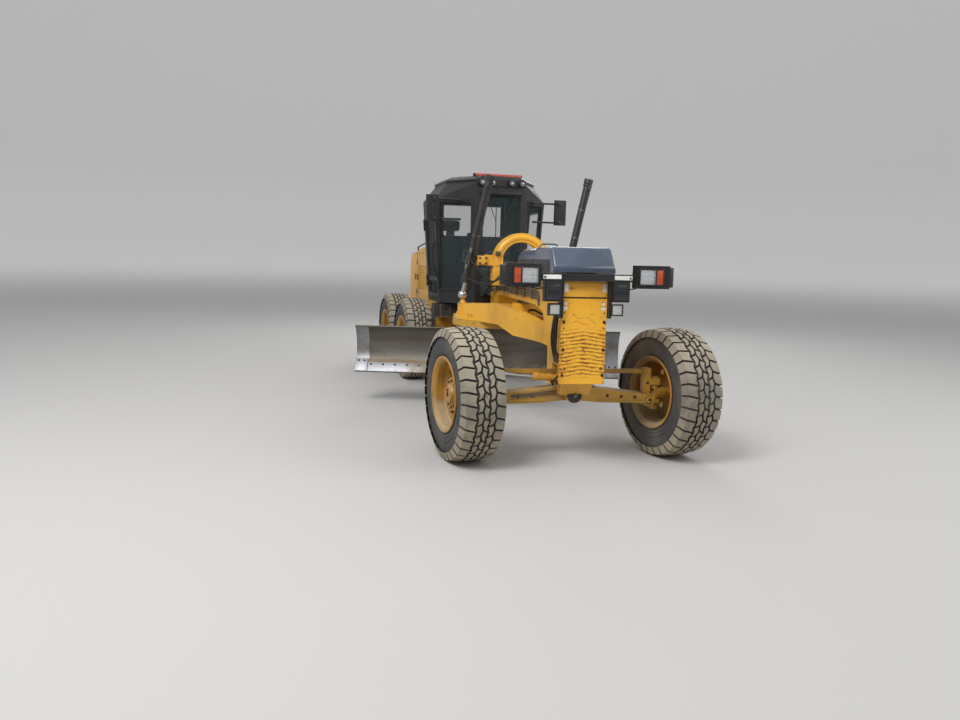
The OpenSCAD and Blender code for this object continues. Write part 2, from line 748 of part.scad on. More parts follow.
module lean_bar() {
    place() color("goldenrod") difference() {
        union() {
            box([-x_lean, x_lean], [26, 41], [z_ear - 24, z_ear + 24]);
            pair() cyl_y([x_lean, 33.5, z_ear], 70, 15);
        }
        pair() cyl_y([x_lean, 33.5, z_ear], 40.6, 60);
    }
}
lean_p = [95, -28, 820];
lean_q = [-x_lean, -28, z_ear];
module lean_barrel() {
    place() color("gold") {
        barrel(lean_p, lean_q, 480, 70, 34, 20);
        cyl_y(lean_p, 70, 75.4);
    }
}
module lean_rod() {
    place() color("silver") {
        bar(lean_q, lean_q + (lean_p - lean_q) * 0.78, 34);
        cyl_y(lean_q, 60, 38);
    }
}
module tie_rod_end() {
    place() color("gray") translate(arm_pt(-1, 0)) {
        cyl_z([0, 0, z_arm - 4], 32, 42);
        cyl_z([0, 0, (z_arm + z_tie) / 2], 20, z_tie - z_arm);
        translate([0, 0, z_tie]) sphere(d = 44);
    }
}
module tie_rod() {
    place() color("gray") difference() {
        union() {
            bar(arm_pt(-1, z_tie) + [26, 0, 0], arm_pt(1, z_tie) - [34, 0, 0], 34);
            translate(arm_pt(-1, z_tie)) cylinder(d = 62, h = 26, center = true);
            translate(arm_pt(1, z_tie)) cylinder(d = 76, h = 36, center = true);
        }
        translate(arm_pt(-1, z_tie)) sphere(d = 44.6);
        // Roomy housing round the left ball, closed by a rubber boot
        translate(arm_pt(1, z_tie)) sphere(d = 54);
        translate(arm_pt(1, z_tie) - [0, 0, 40]) cylinder(d = 46, h = 40);
    }
}

rear_chassis();
tandem_cases();
engine();
engine_hood();
cab_frame();
cab_roof();
cab_glass();
operator_seat();
control_console();
cab_lights();
rails_and_mirrors();
side_tanks();
door(1);  // door_left
door(-1);  // door_right
door_glass(1);  // door_glass_left
door_glass(-1);  // door_glass_right
main_frame();
push_plate();
nose_hood();
light_bar();
turn_barrel(1);  // turn_barrel_left
turn_barrel(-1);  // turn_barrel_right
turn_rod(1);  // turn_rod_left
turn_rod(-1);  // turn_rod_right
lift_barrel(1);  // lift_barrel_left
lift_barrel(-1);  // lift_barrel_right
lift_rod(1);  // lift_rod_left
lift_rod(-1);  // lift_rod_right
drawbar();
circle_ring();  // circle
blade_carrier();
tip_barrel();
tip_rod();
moldboard();
cutting_edge();
front_axle();
lean_carrier(1);  // lean_carrier_left
lean_carrier(-1);  // lean_carrier_right
lean_bar();
lean_barrel();
lean_rod();
knuckle(1);  // knuckle_left
knuckle(-1);  // knuckle_right
tie_rod_end();
tie_rod();
front_wheel_at(1) tyre(1);  // tyre_front_left
front_wheel_at(-1) tyre(-1);  // tyre_front_right
rear_wheel_at(x_rw, y_mid) tyre(1);  // tyre_mid_left
rear_wheel_at(-x_rw, y_mid) tyre(-1);  // tyre_mid_right
rear_wheel_at(x_rw, y_rear) tyre(1);  // tyre_rear_left
rear_wheel_at(-x_rw, y_rear) tyre(-1);  // tyre_rear_right
front_wheel_at(1) rim(1, false);  // rim_front_left
front_wheel_at(-1) rim(-1, false);  // rim_front_right
rear_wheel_at(x_rw, y_mid) rim(1, true);  // rim_mid_left
rear_wheel_at(-x_rw, y_mid) rim(-1, true);  // rim_mid_right
rear_wheel_at(x_rw, y_rear) rim(1, true);  // rim_rear_left
rear_wheel_at(-x_rw, y_rear) rim(-1, true);  // rim_rear_right
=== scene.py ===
"""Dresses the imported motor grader: finishes, tread, bolts, hoses, lamps and a plain studio."""

import json
import logging
import math
from collections.abc import Sequence
from dataclasses import dataclass
from enum import Enum

import bmesh
import bpy
from mathutils import Matrix, Vector


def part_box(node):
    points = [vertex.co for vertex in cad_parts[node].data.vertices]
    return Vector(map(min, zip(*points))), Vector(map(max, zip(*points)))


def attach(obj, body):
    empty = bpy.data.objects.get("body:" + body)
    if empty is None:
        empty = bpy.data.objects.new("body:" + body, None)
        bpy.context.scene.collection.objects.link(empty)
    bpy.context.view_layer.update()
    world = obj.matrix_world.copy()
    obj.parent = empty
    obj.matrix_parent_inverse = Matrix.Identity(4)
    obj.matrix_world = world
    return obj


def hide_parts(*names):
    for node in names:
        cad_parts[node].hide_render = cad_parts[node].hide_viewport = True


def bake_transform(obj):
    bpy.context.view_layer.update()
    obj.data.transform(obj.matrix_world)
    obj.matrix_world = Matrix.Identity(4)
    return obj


log = logging.getLogger("grader")
Colour = tuple[float, float, float]
Point = tuple[float, float, float]
SHARP = 0.6
IMAGE_WIDTH = 960


class Side(Enum):
    """Side of the machine, as the sign of X."""

    LEFT = 1
    RIGHT = -1

    @property
    def tag(self) -> str:
        """Lower-case name, as in the node names."""
        return self.name.lower()


def rgb(r: int, g: int, b: int) -> Colour:
    """Linear colour from three sRGB values of 0 to 255.

    Args:
        r: Red.
        g: Green.
        b: Blue.

    Returns:
        The linear colour.
    """
    def lin(v: float) -> float:
        """One channel's linear value."""
        return v / 12.92 if v <= 0.04045 else ((v + 0.055) / 1.055) ** 2.4
    return lin(r / 255), lin(g / 255), lin(b / 255)


class Web:
    """The nodes of one material."""

    def __init__(self, mat: bpy.types.Material) -> None:
        """Keeps the material's tree and its shader.

        Args:
            mat: A material that uses nodes.
        """
        self.tree = mat.node_tree
        self.shader = self.tree.nodes["Principled BSDF"]
        self.round: bpy.types.NodeSocket | None = None

    def node(self, kind: str) -> bpy.types.Node:
        """Adds a node of that kind."""
        return self.tree.nodes.new(kind)

    def link(self, out: bpy.types.NodeSocket, into: bpy.types.NodeSocket) -> None:
        """Joins two sockets."""
        self.tree.links.new(out, into)

    def place(self) -> bpy.types.NodeSocket:
        """Object coordinates."""
        return self.node("ShaderNodeTexCoord").outputs["Object"]

    def noise(self, place: bpy.types.NodeSocket, scale: float, detail: float,
              rough: float = 0.6, stretch: Point = (1.0, 1.0, 1.0)) -> bpy.types.NodeSocket:
        """Noise of a scale per metre.

        Args:
            place: Coordinates.
            scale: Cells per metre.
            detail: Octaves.
            rough: Roughness of the octaves.
            stretch: Scale along each axis, which makes streaks.

        Returns:
            The noise's value.
        """
        node = self.node("ShaderNodeTexNoise")
        node.inputs["Scale"].default_value = scale
        node.inputs["Detail"].default_value = detail
        node.inputs["Roughness"].default_value = rough
        if stretch == (1.0, 1.0, 1.0):
            self.link(place, node.inputs["Vector"])
        else:
            turn = self.node("ShaderNodeMapping")
            turn.inputs["Scale"].default_value = stretch
            self.link(place, turn.inputs["Vector"])
            self.link(turn.outputs["Vector"], node.inputs["Vector"])
        return node.outputs["Fac"]

    def math(self, kind: str, a: bpy.types.NodeSocket, b: object) -> bpy.types.NodeSocket:
        """A sum on a socket and a socket or number.

        Args:
            kind: The operation.
            a: First socket.
            b: Second socket, or a number.

        Returns:
            The result.
        """
        node = self.node("ShaderNodeMath")
        node.operation = kind
        self.link(a, node.inputs[0])
        if isinstance(b, (int, float)):
            node.inputs[1].default_value = b
        else:
            self.link(b, node.inputs[1])
        return node.outputs[0]

    def ramp(self, value: bpy.types.NodeSocket, low: float, high: float,
             start: float = 0.0, end: float = 1.0) -> bpy.types.NodeSocket:
        """Smooth step from low to high.

        Args:
            value: What is mapped.
            low: Value that gives start.
            high: Value that gives end.
            start: First result.
            end: Last result.

        Returns:
            The mapped value.
        """
        node = self.node("ShaderNodeMapRange")
        node.interpolation_type = "SMOOTHSTEP"
        for name, number in (("From Min", low), ("From Max", high), ("To Min", start), ("To Max", end)):
            node.inputs[name].default_value = number
        self.link(value, node.inputs["Value"])
        return node.outputs["Result"]

    def axis(self, vector: bpy.types.NodeSocket, name: str) -> bpy.types.NodeSocket:
        """One coordinate of a vector.

        Args:
            vector: The vector.
            name: X, Y or Z.

        Returns:
            The coordinate.
        """
        split = self.node("ShaderNodeSeparateXYZ")
        self.link(vector, split.inputs[0])
        return split.outputs[name]

    def upward(self) -> bpy.types.NodeSocket:
        """How far a face looks up, 0 to 1."""
        return self.ramp(self.axis(self.node("ShaderNodeNewGeometry").outputs["Normal"], "Z"), 0.1, 0.95)

    def edges(self, width: float) -> bpy.types.NodeSocket:
        """How close a point lies to a sharp edge.

        Args:
            width: Width of the edge's strip, in metres.

        Returns:
            0 away from edges to 1 on one.
        """
        bevel = self.node("ShaderNodeBevel")
        bevel.samples = 4
        bevel.inputs["Radius"].default_value = width
        dot = self.node("ShaderNodeVectorMath")
        dot.operation = "DOT_PRODUCT"
        self.link(bevel.outputs[0], dot.inputs[0])
        self.round = bevel.outputs[0]
        self.link(self.node("ShaderNodeNewGeometry").outputs["Normal"], dot.inputs[1])
        return self.ramp(dot.outputs["Value"], 0.995, 0.86)

    def mix(self, share: bpy.types.NodeSocket, a: object, b: object) -> bpy.types.NodeSocket:
        """Mixes two colours or colour sockets.

        Args:
            share: How much of b shows.
            a: Colour or socket.
            b: Colour or socket.

        Returns:
            The mixed colour.
        """
        node = self.node("ShaderNodeMix")
        node.data_type = "RGBA"
        self.link(share, node.inputs[0])
        for value, socket in ((a, node.inputs[6]), (b, node.inputs[7])):
            if isinstance(value, tuple):
                socket.default_value = (*value, 1.0)
            else:
                self.link(value, socket)
        return node.outputs[2]

    def bump(self, value: bpy.types.NodeSocket, strength: float, depth: float) -> None:
        """Bumps the shader's surface by a value.

        Args:
            value: Height field.
            strength: Share of the bump.
            depth: Its depth in metres.
        """
        node = self.node("ShaderNodeBump")
        node.inputs["Strength"].default_value = strength
        node.inputs["Distance"].default_value = depth
        self.link(value, node.inputs["Height"])
        if self.round:
            self.link(self.round, node.inputs["Normal"])
        self.link(node.outputs[0], self.shader.inputs["Normal"])


@dataclass(frozen=True)
class Coat:
    """A painted, bare or dusty surface, all of it worked out from Object coordinates.

    Attributes:
        name: The material's name.
        base: Clean colour.
        worn: Colour of the faded patches.
        dust: Colour of the dust that settles on it.
        dusty: How much of the surface the dust takes, 0 to 1.
        settle: How much more dust lies on faces that look up.
        low: Height in metres under which the dust thickens.
        chip: Colour that shows through scratches and chips.
        chips: How much of the surface is chipped, 0 to 1.
        edge: How much the edges are worn, 0 to 1.
        rough: Roughness of the clean coat.
        metal: Metallic share of the clean coat.
        grain: Strength of the fine bump.
        sheen: Coat weight of a glossy paint.
        streak: Stretch of the broad stains along X, Y and Z.
        scores: Middle X, lowest Z and highest Z of a patch of chevron scores, or None.
    """

    name: str
    base: Colour
    worn: Colour
    dust: Colour = rgb(150, 124, 92)
    dusty: float = 0.25
    settle: float = 0.25
    low: float = 0.9
    chip: Colour = rgb(60, 45, 35)
    chips: float = 0.1
    edge: float = 0.5
    rough: float = 0.4
    metal: float = 0.0
    grain: float = 0.25
    sheen: float = 0.0
    streak: Point = (1.0, 1.0, 1.0)
    scores: Point | None = None

    def scored(self, web: Web, place: bpy.types.NodeSocket, fine: bpy.types.NodeSocket) -> bpy.types.NodeSocket:
        """Chevron scores that a load has rubbed into the paint, and curved scratches over them.

        Args:
            web: The material's nodes.
            place: Coordinates.
            fine: Noise that breaks them up.

        Returns:
            How deep a point lies in a score, 0 to 1.
        """
        middle, low, high = self.scores
        z = web.axis(place, "Z")
        across = web.math("ABSOLUTE", web.math("SUBTRACT", web.axis(place, "X"), middle), 0.0)
        wave = web.math("ADD", web.math("MULTIPLY", z, 27.0), web.math("MULTIPLY", across, 4.0))
        wave = web.math("FRACT", web.math("ADD", wave, web.math("MULTIPLY", fine, 1.6)), 0.0)
        lines = web.math("MULTIPLY", web.ramp(wave, 0.38, 0.64), web.ramp(wave, 1.0, 0.85))
        patch = web.math("MULTIPLY", web.ramp(z, high + 0.06, high - 0.04), web.ramp(z, low - 0.04, low + 0.04))
        lines = web.math("MULTIPLY", web.math("MULTIPLY", lines, patch), web.ramp(fine, 0.35, 0.6, 0.35, 1.0))
        swirl = web.noise(place, 11.0, 0.0)
        swirl = web.math("MULTIPLY", web.ramp(swirl, 0.48, 0.495), web.ramp(swirl, 0.525, 0.51))
        over = web.math("MULTIPLY", web.ramp(z, high + 0.2, high + 0.16), web.ramp(z, high + 0.03, high + 0.07))
        over = web.math("MULTIPLY", over, web.ramp(across, 0.13, 0.1, 0.0, 0.8))
        return web.math("MAXIMUM", lines, web.math("MULTIPLY", swirl, over))

    def build(self) -> bpy.types.Material:
        """Makes the node material.

        Returns:
            The finished material.
        """
        mat = bpy.data.materials.new(self.name)
        mat.use_nodes = True
        web = Web(mat)
        shader = web.shader
        shader.inputs["Metallic"].default_value = self.metal
        shader.inputs["Coat Weight"].default_value = self.sheen
        shader.inputs["Coat Roughness"].default_value = 0.15
        place = web.place()
        broad = web.noise(place, 1.6, 5.0, stretch=self.streak)
        fine = web.noise(place, 12.0, 8.0, 0.65)
        specks = web.noise(place, 60.0, 3.0)
        colour = web.mix(web.ramp(broad, 0.42, 0.66), self.base, self.worn)
        low = web.ramp(web.axis(place, "Z"), self.low, 0.0, 0.0, 0.3)
        lay = web.math("ADD", web.math("ADD", web.math("MULTIPLY", web.upward(), self.settle), low),
                       web.math("MULTIPLY", web.math("ADD", fine, broad), 0.5))
        dust = web.ramp(lay, 0.9 - self.dusty * 0.7, 1.15 - self.dusty * 0.7, 0.0, 0.9)
        chips = web.ramp(web.math("MULTIPLY", specks, web.ramp(fine, 0.42, 0.66)),
                         0.62 - self.chips * 0.5, 0.65 - self.chips * 0.5)
        worn = web.math("MULTIPLY", web.edges(0.007), web.ramp(fine, 0.62 - self.edge * 0.3, 0.7 - self.edge * 0.3))
        chips = web.math("MAXIMUM", chips, web.math("MULTIPLY", worn, 0.85))
        if self.scores:
            chips = web.math("MAXIMUM", chips, web.math("MULTIPLY", self.scored(web, place, fine), 0.92))
        colour = web.mix(dust, web.mix(chips, colour, self.chip), self.dust)
        web.link(colour, shader.inputs["Base Color"])
        web.link(web.ramp(dust, 0.0, 1.0, self.rough, 0.92), shader.inputs["Roughness"])
        web.bump(web.math("ADD", web.math("MULTIPLY", specks, 0.5), fine), self.grain, 0.002)
        return mat


@dataclass(frozen=True)
class Lens:
    """A glassy cover or pane.

    Attributes:
        name: The material's name.
        tint: Its colour.
        alpha: How solid it is, 1 for a lamp's lens.
        flutes: Ribs per metre moulded into it, or 0.
        dusty: Share of dust on it.
    """

    name: str
    tint: Colour
    alpha: float = 1.0
    flutes: float = 0.0
    dusty: float = 0.15

    def build(self) -> bpy.types.Material:
        """Makes the node material.

        Returns:
            The finished material.
        """
        mat = bpy.data.materials.new(self.name)
        mat.use_nodes = True
        web = Web(mat)
        shader = web.shader
        shader.inputs["Coat Weight"].default_value = 0.6 if self.alpha == 1.0 else 0.0
        shader.inputs["IOR"].default_value = 1.5
        place = web.place()
        film = web.ramp(web.noise(place, 2.2, 3.0), 0.7 - self.dusty, 1.0 - self.dusty, 0.0, 0.5)
        web.link(web.mix(film, self.tint, rgb(170, 150, 122)), shader.inputs["Base Color"])
        web.link(web.ramp(film, 0.0, 0.5, 0.04, 0.5), shader.inputs["Roughness"])
        if self.alpha < 1.0:
            web.link(web.ramp(film, 0.0, 0.5, self.alpha, min(1.0, self.alpha + 0.12)), shader.inputs["Alpha"])
        if self.flutes:
            wave = web.node("ShaderNodeTexWave")
            wave.inputs["Scale"].default_value = self.flutes
            web.link(place, wave.inputs["Vector"])
            web.bump(wave.outputs["Fac"], 0.5, 0.003)
        return mat


@dataclass(frozen=True)
class Span:
    """The two bodies and two points at the ends of a piece that spans a joint.

    Attributes:
        first: Body at its start; not used.
        second: Body at its end; not used.
        start: Point by its start; not used.
        end: Point by its end; not used.
    """

    first: str
    second: str
    start: Point
    end: Point


class Form:
    """A mesh in the making, in a frame of its own, from plain solids with softened edges."""

    def __init__(self) -> None:
        """Starts an empty mesh."""
        self.bm = bmesh.new()

    def soften(self, verts: Sequence[bmesh.types.BMVert], width: float, steps: int = 2) -> None:
        """Bevels the sharp edges between the given vertices.

        Args:
            verts: Vertices of one solid.
            width: Width of the bevel.
            steps: Its segments.
        """
        edges = {e for v in verts for e in v.link_edges
                 if len(e.link_faces) == 2 and e.calc_face_angle(0.0) > SHARP}
        if width > 0 and edges:
            bmesh.ops.bevel(self.bm, geom=list(edges), offset=width, segments=steps, profile=0.6,
                            affect="EDGES", clamp_overlap=True)

    def box(self, low: Point, high: Point, soft: float = 0.004, turn: Matrix | None = None) -> "Form":
        """Adds a box between two corners.

        Args:
            low: Lowest corner.
            high: Highest corner.
            soft: Bevel.
            turn: Extra placing.

        Returns:
            The form.
        """
        lo, hi = Vector(low), Vector(high)
        mat = Matrix.Translation((lo + hi) / 2) @ Matrix.Diagonal((*(hi - lo), 1.0))
        verts = bmesh.ops.create_cube(self.bm, size=1.0, matrix=(turn or Matrix()) @ mat)["verts"]
        self.soften(verts, soft)
        return self

    def rod(self, start: Point, end: Point, radius: float, tip: float | None = None,
            sides: int = 24, soft: float = 0.0, turn: float = 0.0) -> "Form":
        """Adds a round or many-sided rod.

        Args:
            start: Middle of the first end.
            end: Middle of the other end.
            radius: Radius at the start.
            tip: Radius at the end.
            sides: Sides, 6 for a bolt's head.
            soft: Bevel.
            turn: Turn about its own axis, in radians.

        Returns:
            The form.
        """
        a, b = Vector(start), Vector(end)
        mat = (Matrix.Translation((a + b) / 2) @ (b - a).to_track_quat("Z", "Y").to_matrix().to_4x4()
               @ Matrix.Rotation(turn, 4, "Z"))
        made = bmesh.ops.create_cone(self.bm, cap_ends=True, segments=sides, radius1=radius,
                                     radius2=radius if tip is None else tip, depth=(b - a).length, matrix=mat)
        self.soften(made["verts"], soft)
        return self

    def bolt(self, foot: Point, axis: Point, radius: float, height: float) -> "Form":
        """Adds a hexagon head on its washer.

        Args:
            foot: Point on the surface under the washer.
            axis: Direction out of the surface.
            radius: Radius over the corners.
            height: Height of the head.

        Returns:
            The form.
        """
        a, n = Vector(foot), Vector(axis).normalized()
        self.rod(a, a + n * height * 0.25, radius * 1.35, sides=20)
        return self.rod(a + n * height * 0.25, a + n * height, radius, radius * 0.96, 6, height * 0.1,
                        a.x * 37 + a.z * 19)

    def lathe(self, profile: Sequence[tuple[float, float]], base: Matrix, steps: int = 48) -> "Form":
        """Spins a profile of radius and height about the base's Z axis.

        Args:
            profile: Pairs of radius and height.
            base: Placing of the axis.
            steps: Steps round the turn.

        Returns:
            The form.
        """
        bm = bmesh.new()
        verts = [bmesh.ops.create_vert(bm, co=(r, 0.0, z))["vert"][0] for r, z in profile]
        edges = [bm.edges.new(pair) for pair in zip(verts, verts[1:])]
        bmesh.ops.spin(bm, geom=verts + edges, axis=(0, 0, 1), angle=math.tau, steps=steps, use_merge=True)
        return self.join(bm, base)

    def join(self, bm: bmesh.types.BMesh, base: Matrix) -> "Form":
        """Takes in another mesh in the making, and frees it.

        Args:
            bm: The mesh.
            base: Its placing.

        Returns:
            The form.
        """
        bmesh.ops.remove_doubles(bm, verts=bm.verts, dist=1e-5)
        bmesh.ops.transform(bm, matrix=base, verts=bm.verts)
        mesh = bpy.data.meshes.new("join")
        bm.to_mesh(mesh)
        bm.free()
        self.bm.from_mesh(mesh)
        bpy.data.meshes.remove(mesh)
        return self

    def slab(self, profile: Sequence[tuple[float, float]], left: float, right: float, above: float,
             soft: float, steps: int = 6) -> "Form":
        """Extrudes a side profile and rounds its edges over a height.

        Args:
            profile: Pairs of Y and Z.
            left: Lowest X.
            right: Highest X.
            above: Edges over this height are rounded.
            soft: Width of the rounding.
            steps: Its segments.

        Returns:
            The form.
        """
        verts = [bmesh.ops.create_vert(self.bm, co=(left, y, z))["vert"][0] for y, z in profile]
        face = bmesh.ops.contextual_create(self.bm, geom=verts)["faces"]
        made = bmesh.ops.extrude_face_region(self.bm, geom=face, use_keep_orig=True)["geom"]
        far = [g for g in made if isinstance(g, bmesh.types.BMVert)]
        bmesh.ops.translate(self.bm, vec=(right - left, 0.0, 0.0), verts=far)
        bmesh.ops.recalc_face_normals(self.bm, faces=[f for f in self.bm.faces if set(f.verts) & {*verts, *far}])
        high = {v for v in (*verts, *far) if v.co.z > above}
        edges = {e for v in high for e in v.link_edges if all(w in high for w in e.verts)
                 and len(e.link_faces) == 2 and e.calc_face_angle(0.0) > 0.2}
        bmesh.ops.bevel(self.bm, geom=list(edges), offset=soft, segments=steps, profile=0.5, affect="EDGES",
                        clamp_overlap=True)
        return self

    def tube(self, path: Sequence[Vector], radius: float, sides: int = 10) -> "Form":
        """Sweeps a circle along a path.

        Args:
            path: Points along the middle.
            radius: Radius of the tube.
            sides: Sides of the circle.

        Returns:
            The form.
        """
        up = Vector((0.02, 0.01, 1.0)).normalized()
        rings = []
        for i, p in enumerate(path):
            along = (path[min(i + 1, len(path) - 1)] - path[max(i - 1, 0)]).normalized()
            side = along.cross(up)
            if side.length < 0.05:
                side = along.cross(Vector((1.0, 0.0, 0.0)))
            side.normalize()
            up = side.cross(along).normalized()
            turn = Matrix((side, up, along)).transposed().to_4x4()
            rings.append(bmesh.ops.create_circle(self.bm, cap_ends=i in (0, len(path) - 1), segments=sides,
                                                 radius=radius, matrix=Matrix.Translation(p) @ turn)["verts"])
        for a, b in zip(rings, rings[1:]):
            loops = [e for ring in (a, b) for e in {e for v in ring for e in v.link_edges
                     if all(w in ring for w in e.verts)}]
            bmesh.ops.bridge_loops(self.bm, edges=loops)
        return self

    def finish(self, name: str, body: "str | Span", slot: str, material: bpy.types.Material, base: Matrix,
               smooth: float = 35.0, stands: tuple[str, ...] = ()) -> bpy.types.Object:
        """Turns the form into a piece that rides on a body.

        Args:
            name: Name of the piece.
            body: Body that it rides on, or a Span, for which the piece is baked into the world and rides on no body.
            slot: Material slot of the record.
            material: Its finish.
            base: Placing of the form's frame in the world.
            smooth: Faces that meet under this angle are shaded as one.
            stands: CAD nodes that the piece replaces.

        Returns:
            The object.
        """
        bmesh.ops.transform(self.bm, matrix=base, verts=self.bm.verts)
        bmesh.ops.recalc_face_normals(self.bm, faces=self.bm.faces)
        mesh = bpy.data.meshes.new(name)
        self.bm.to_mesh(mesh)
        self.bm.free()
        mesh.shade_smooth()
        mesh.set_sharp_from_angle(angle=math.radians(smooth))
        mesh.materials.append(material)
        obj = bpy.data.objects.new(name, mesh)
        bpy.context.scene.collection.objects.link(obj)
        if stands:
            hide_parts(*stands)
        if isinstance(body, Span):
            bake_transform(obj)
        else:
            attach(obj, body)
        return obj


def curve(points: Sequence[Point], steps: int = 8) -> list[Vector]:
    """Smooth curve through points.

    Args:
        points: Points that it passes.
        steps: Steps between two of them.

    Returns:
        The points of the curve.
    """
    p = [Vector(q) for q in points]
    p = [p[0] * 2 - p[1], *p, p[-1] * 2 - p[-2]]
    out = []
    for a, b, c, d in zip(p, p[1:], p[2:], p[3:]):
        for i in range(steps):
            t = i / steps
            out.append(0.5 * ((2 * b) + (c - a) * t + (2 * a - 5 * b + 4 * c - d) * t * t
                              + (3 * b - a - 3 * c + d) * t ** 3))
    return [*out, p[-2]]


def around(count: int, radius: float, start: float = 0.0) -> list[tuple[float, float]]:
    """Points spaced evenly round a circle.

    Args:
        count: How many.
        radius: Radius of the circle.
        start: Place of the first, in steps.

    Returns:
        Pairs of coordinates.
    """
    turns = [math.tau * (i + start) / count for i in range(count)]
    return [(radius * math.cos(a), radius * math.sin(a)) for a in turns]


@dataclass(frozen=True)
class Pose:
    """How the machine stands, and where its frames lie.

    Attributes:
        centre: Place of the front axle's centre in the world, in metres.
        fold: Angle of the rear frame to the front frame, in degrees.
        steer: Angle of the front wheels, in degrees.
        swing: Angle of the drawbar, in degrees.
        blade: Angle of the circle to the drawbar, in degrees.
        shift: Distance that the blade stands shifted along itself, in metres.
        hinge: Distance of the frames' hinge behind the front axle, in metres.
        circle: Distance of the circle's centre behind the front axle, in metres.
        ball: Place of the drawbar's ball from the front axle's centre, in metres.
        kingpin: Distance of a kingpin from the middle, in metres.
        arm: Distance of the tie rod's pin behind its kingpin, in metres.
    """

    centre: Vector
    fold: float = 8.0
    steer: float = 12.0
    swing: float = 2.5
    blade: float = 14.0
    shift: float = 0.33
    hinge: float = 3.85
    circle: float = 2.62
    ball: Point = (0.0, 0.33, 0.93)
    kingpin: float = 0.94
    arm: float = 0.19

    @property
    def front(self) -> Matrix:
        """Frame of the front frame: front axle at y = 0."""
        return Matrix.Translation(self.centre)

    @property
    def rear(self) -> Matrix:
        """Frame of the rear frame, folded at the hinge."""
        return self.front @ about((0.0, self.hinge, 0.0), "Z", self.fold)

    @property
    def bar(self) -> Matrix:
        """Frame of the drawbar, swung about its ball."""
        return self.front @ about(self.ball, "Z", self.swing)

    @property
    def ring(self) -> Matrix:
        """Frame of the circle, with its axis at x = y = 0."""
        return self.bar @ Matrix.Translation((0.0, self.circle, 0.0)) @ Matrix.Rotation(
            math.radians(-self.blade), 4, "Z")

    @property
    def edge(self) -> Matrix:
        """Frame of the blade, with its middle at x = 0."""
        return self.ring @ Matrix.Translation((-self.shift, 0.0, 0.0))

    def knuckle(self, side: Side) -> Matrix:
        """Frame of a steered knuckle, turned about its kingpin."""
        return self.front @ about((self.kingpin * side.value, 0.0, 0.0), "Z", self.steer)


def about(point: Point, axis: str, degrees: float) -> Matrix:
    """Rotation about an axis through a point.

    Args:
        point: Point on the axis.
        axis: X, Y or Z.
        degrees: The angle.

    Returns:
        The matrix.
    """
    move = Matrix.Translation(point)
    return move @ Matrix.Rotation(math.radians(degrees), 4, axis) @ move.inverted()


def facing(point: Point, axis: Point) -> Matrix:
    """Frame at a point, with its Z axis along a direction.

    Args:
        point: The point.
        axis: The direction.

    Returns:
        The matrix.
    """
    return Matrix.Translation(point) @ Vector(axis).to_track_quat("Z", "Y").to_matrix().to_4x4()


@dataclass(frozen=True)
class TyreSize:
    """Sizes of a tyre, in metres.

    Attributes:
        radius: Radius over the tread.
        half: Half width.
        bead: Radius at the rim.
        pitch: Blocks round the tyre.
        depth: Depth of the grooves.
        groove: Width of a groove.
        wave: How far the grooves round the tyre swing, as a share of its half width.
        bounds: Lines round the tyre: place across it, swing as a share of wave, and turn in half blocks.
        columns: Column of blocks that lies between each two lines.
    """

    radius: float = 0.683
    half: float = 0.222
    bead: float = 0.388
    pitch: int = 34
    depth: float = 0.024
    groove: float = 0.011
    wave: float = 0.04
    bounds: tuple[Point, ...] = ((-1.0, 0.0, 0.0), (-0.84, 0.0, 0.0), (-0.42, 1.0, 0.45), (-0.13, 1.0, 0.0),
                                 (0.13, 1.0, 0.6), (0.42, 1.0, 0.15), (0.84, 0.0, 0.6), (1.0, 0.0, 0.6))
    columns: tuple[int, ...] = (0, 0, 1, 2, 3, 4, 4)


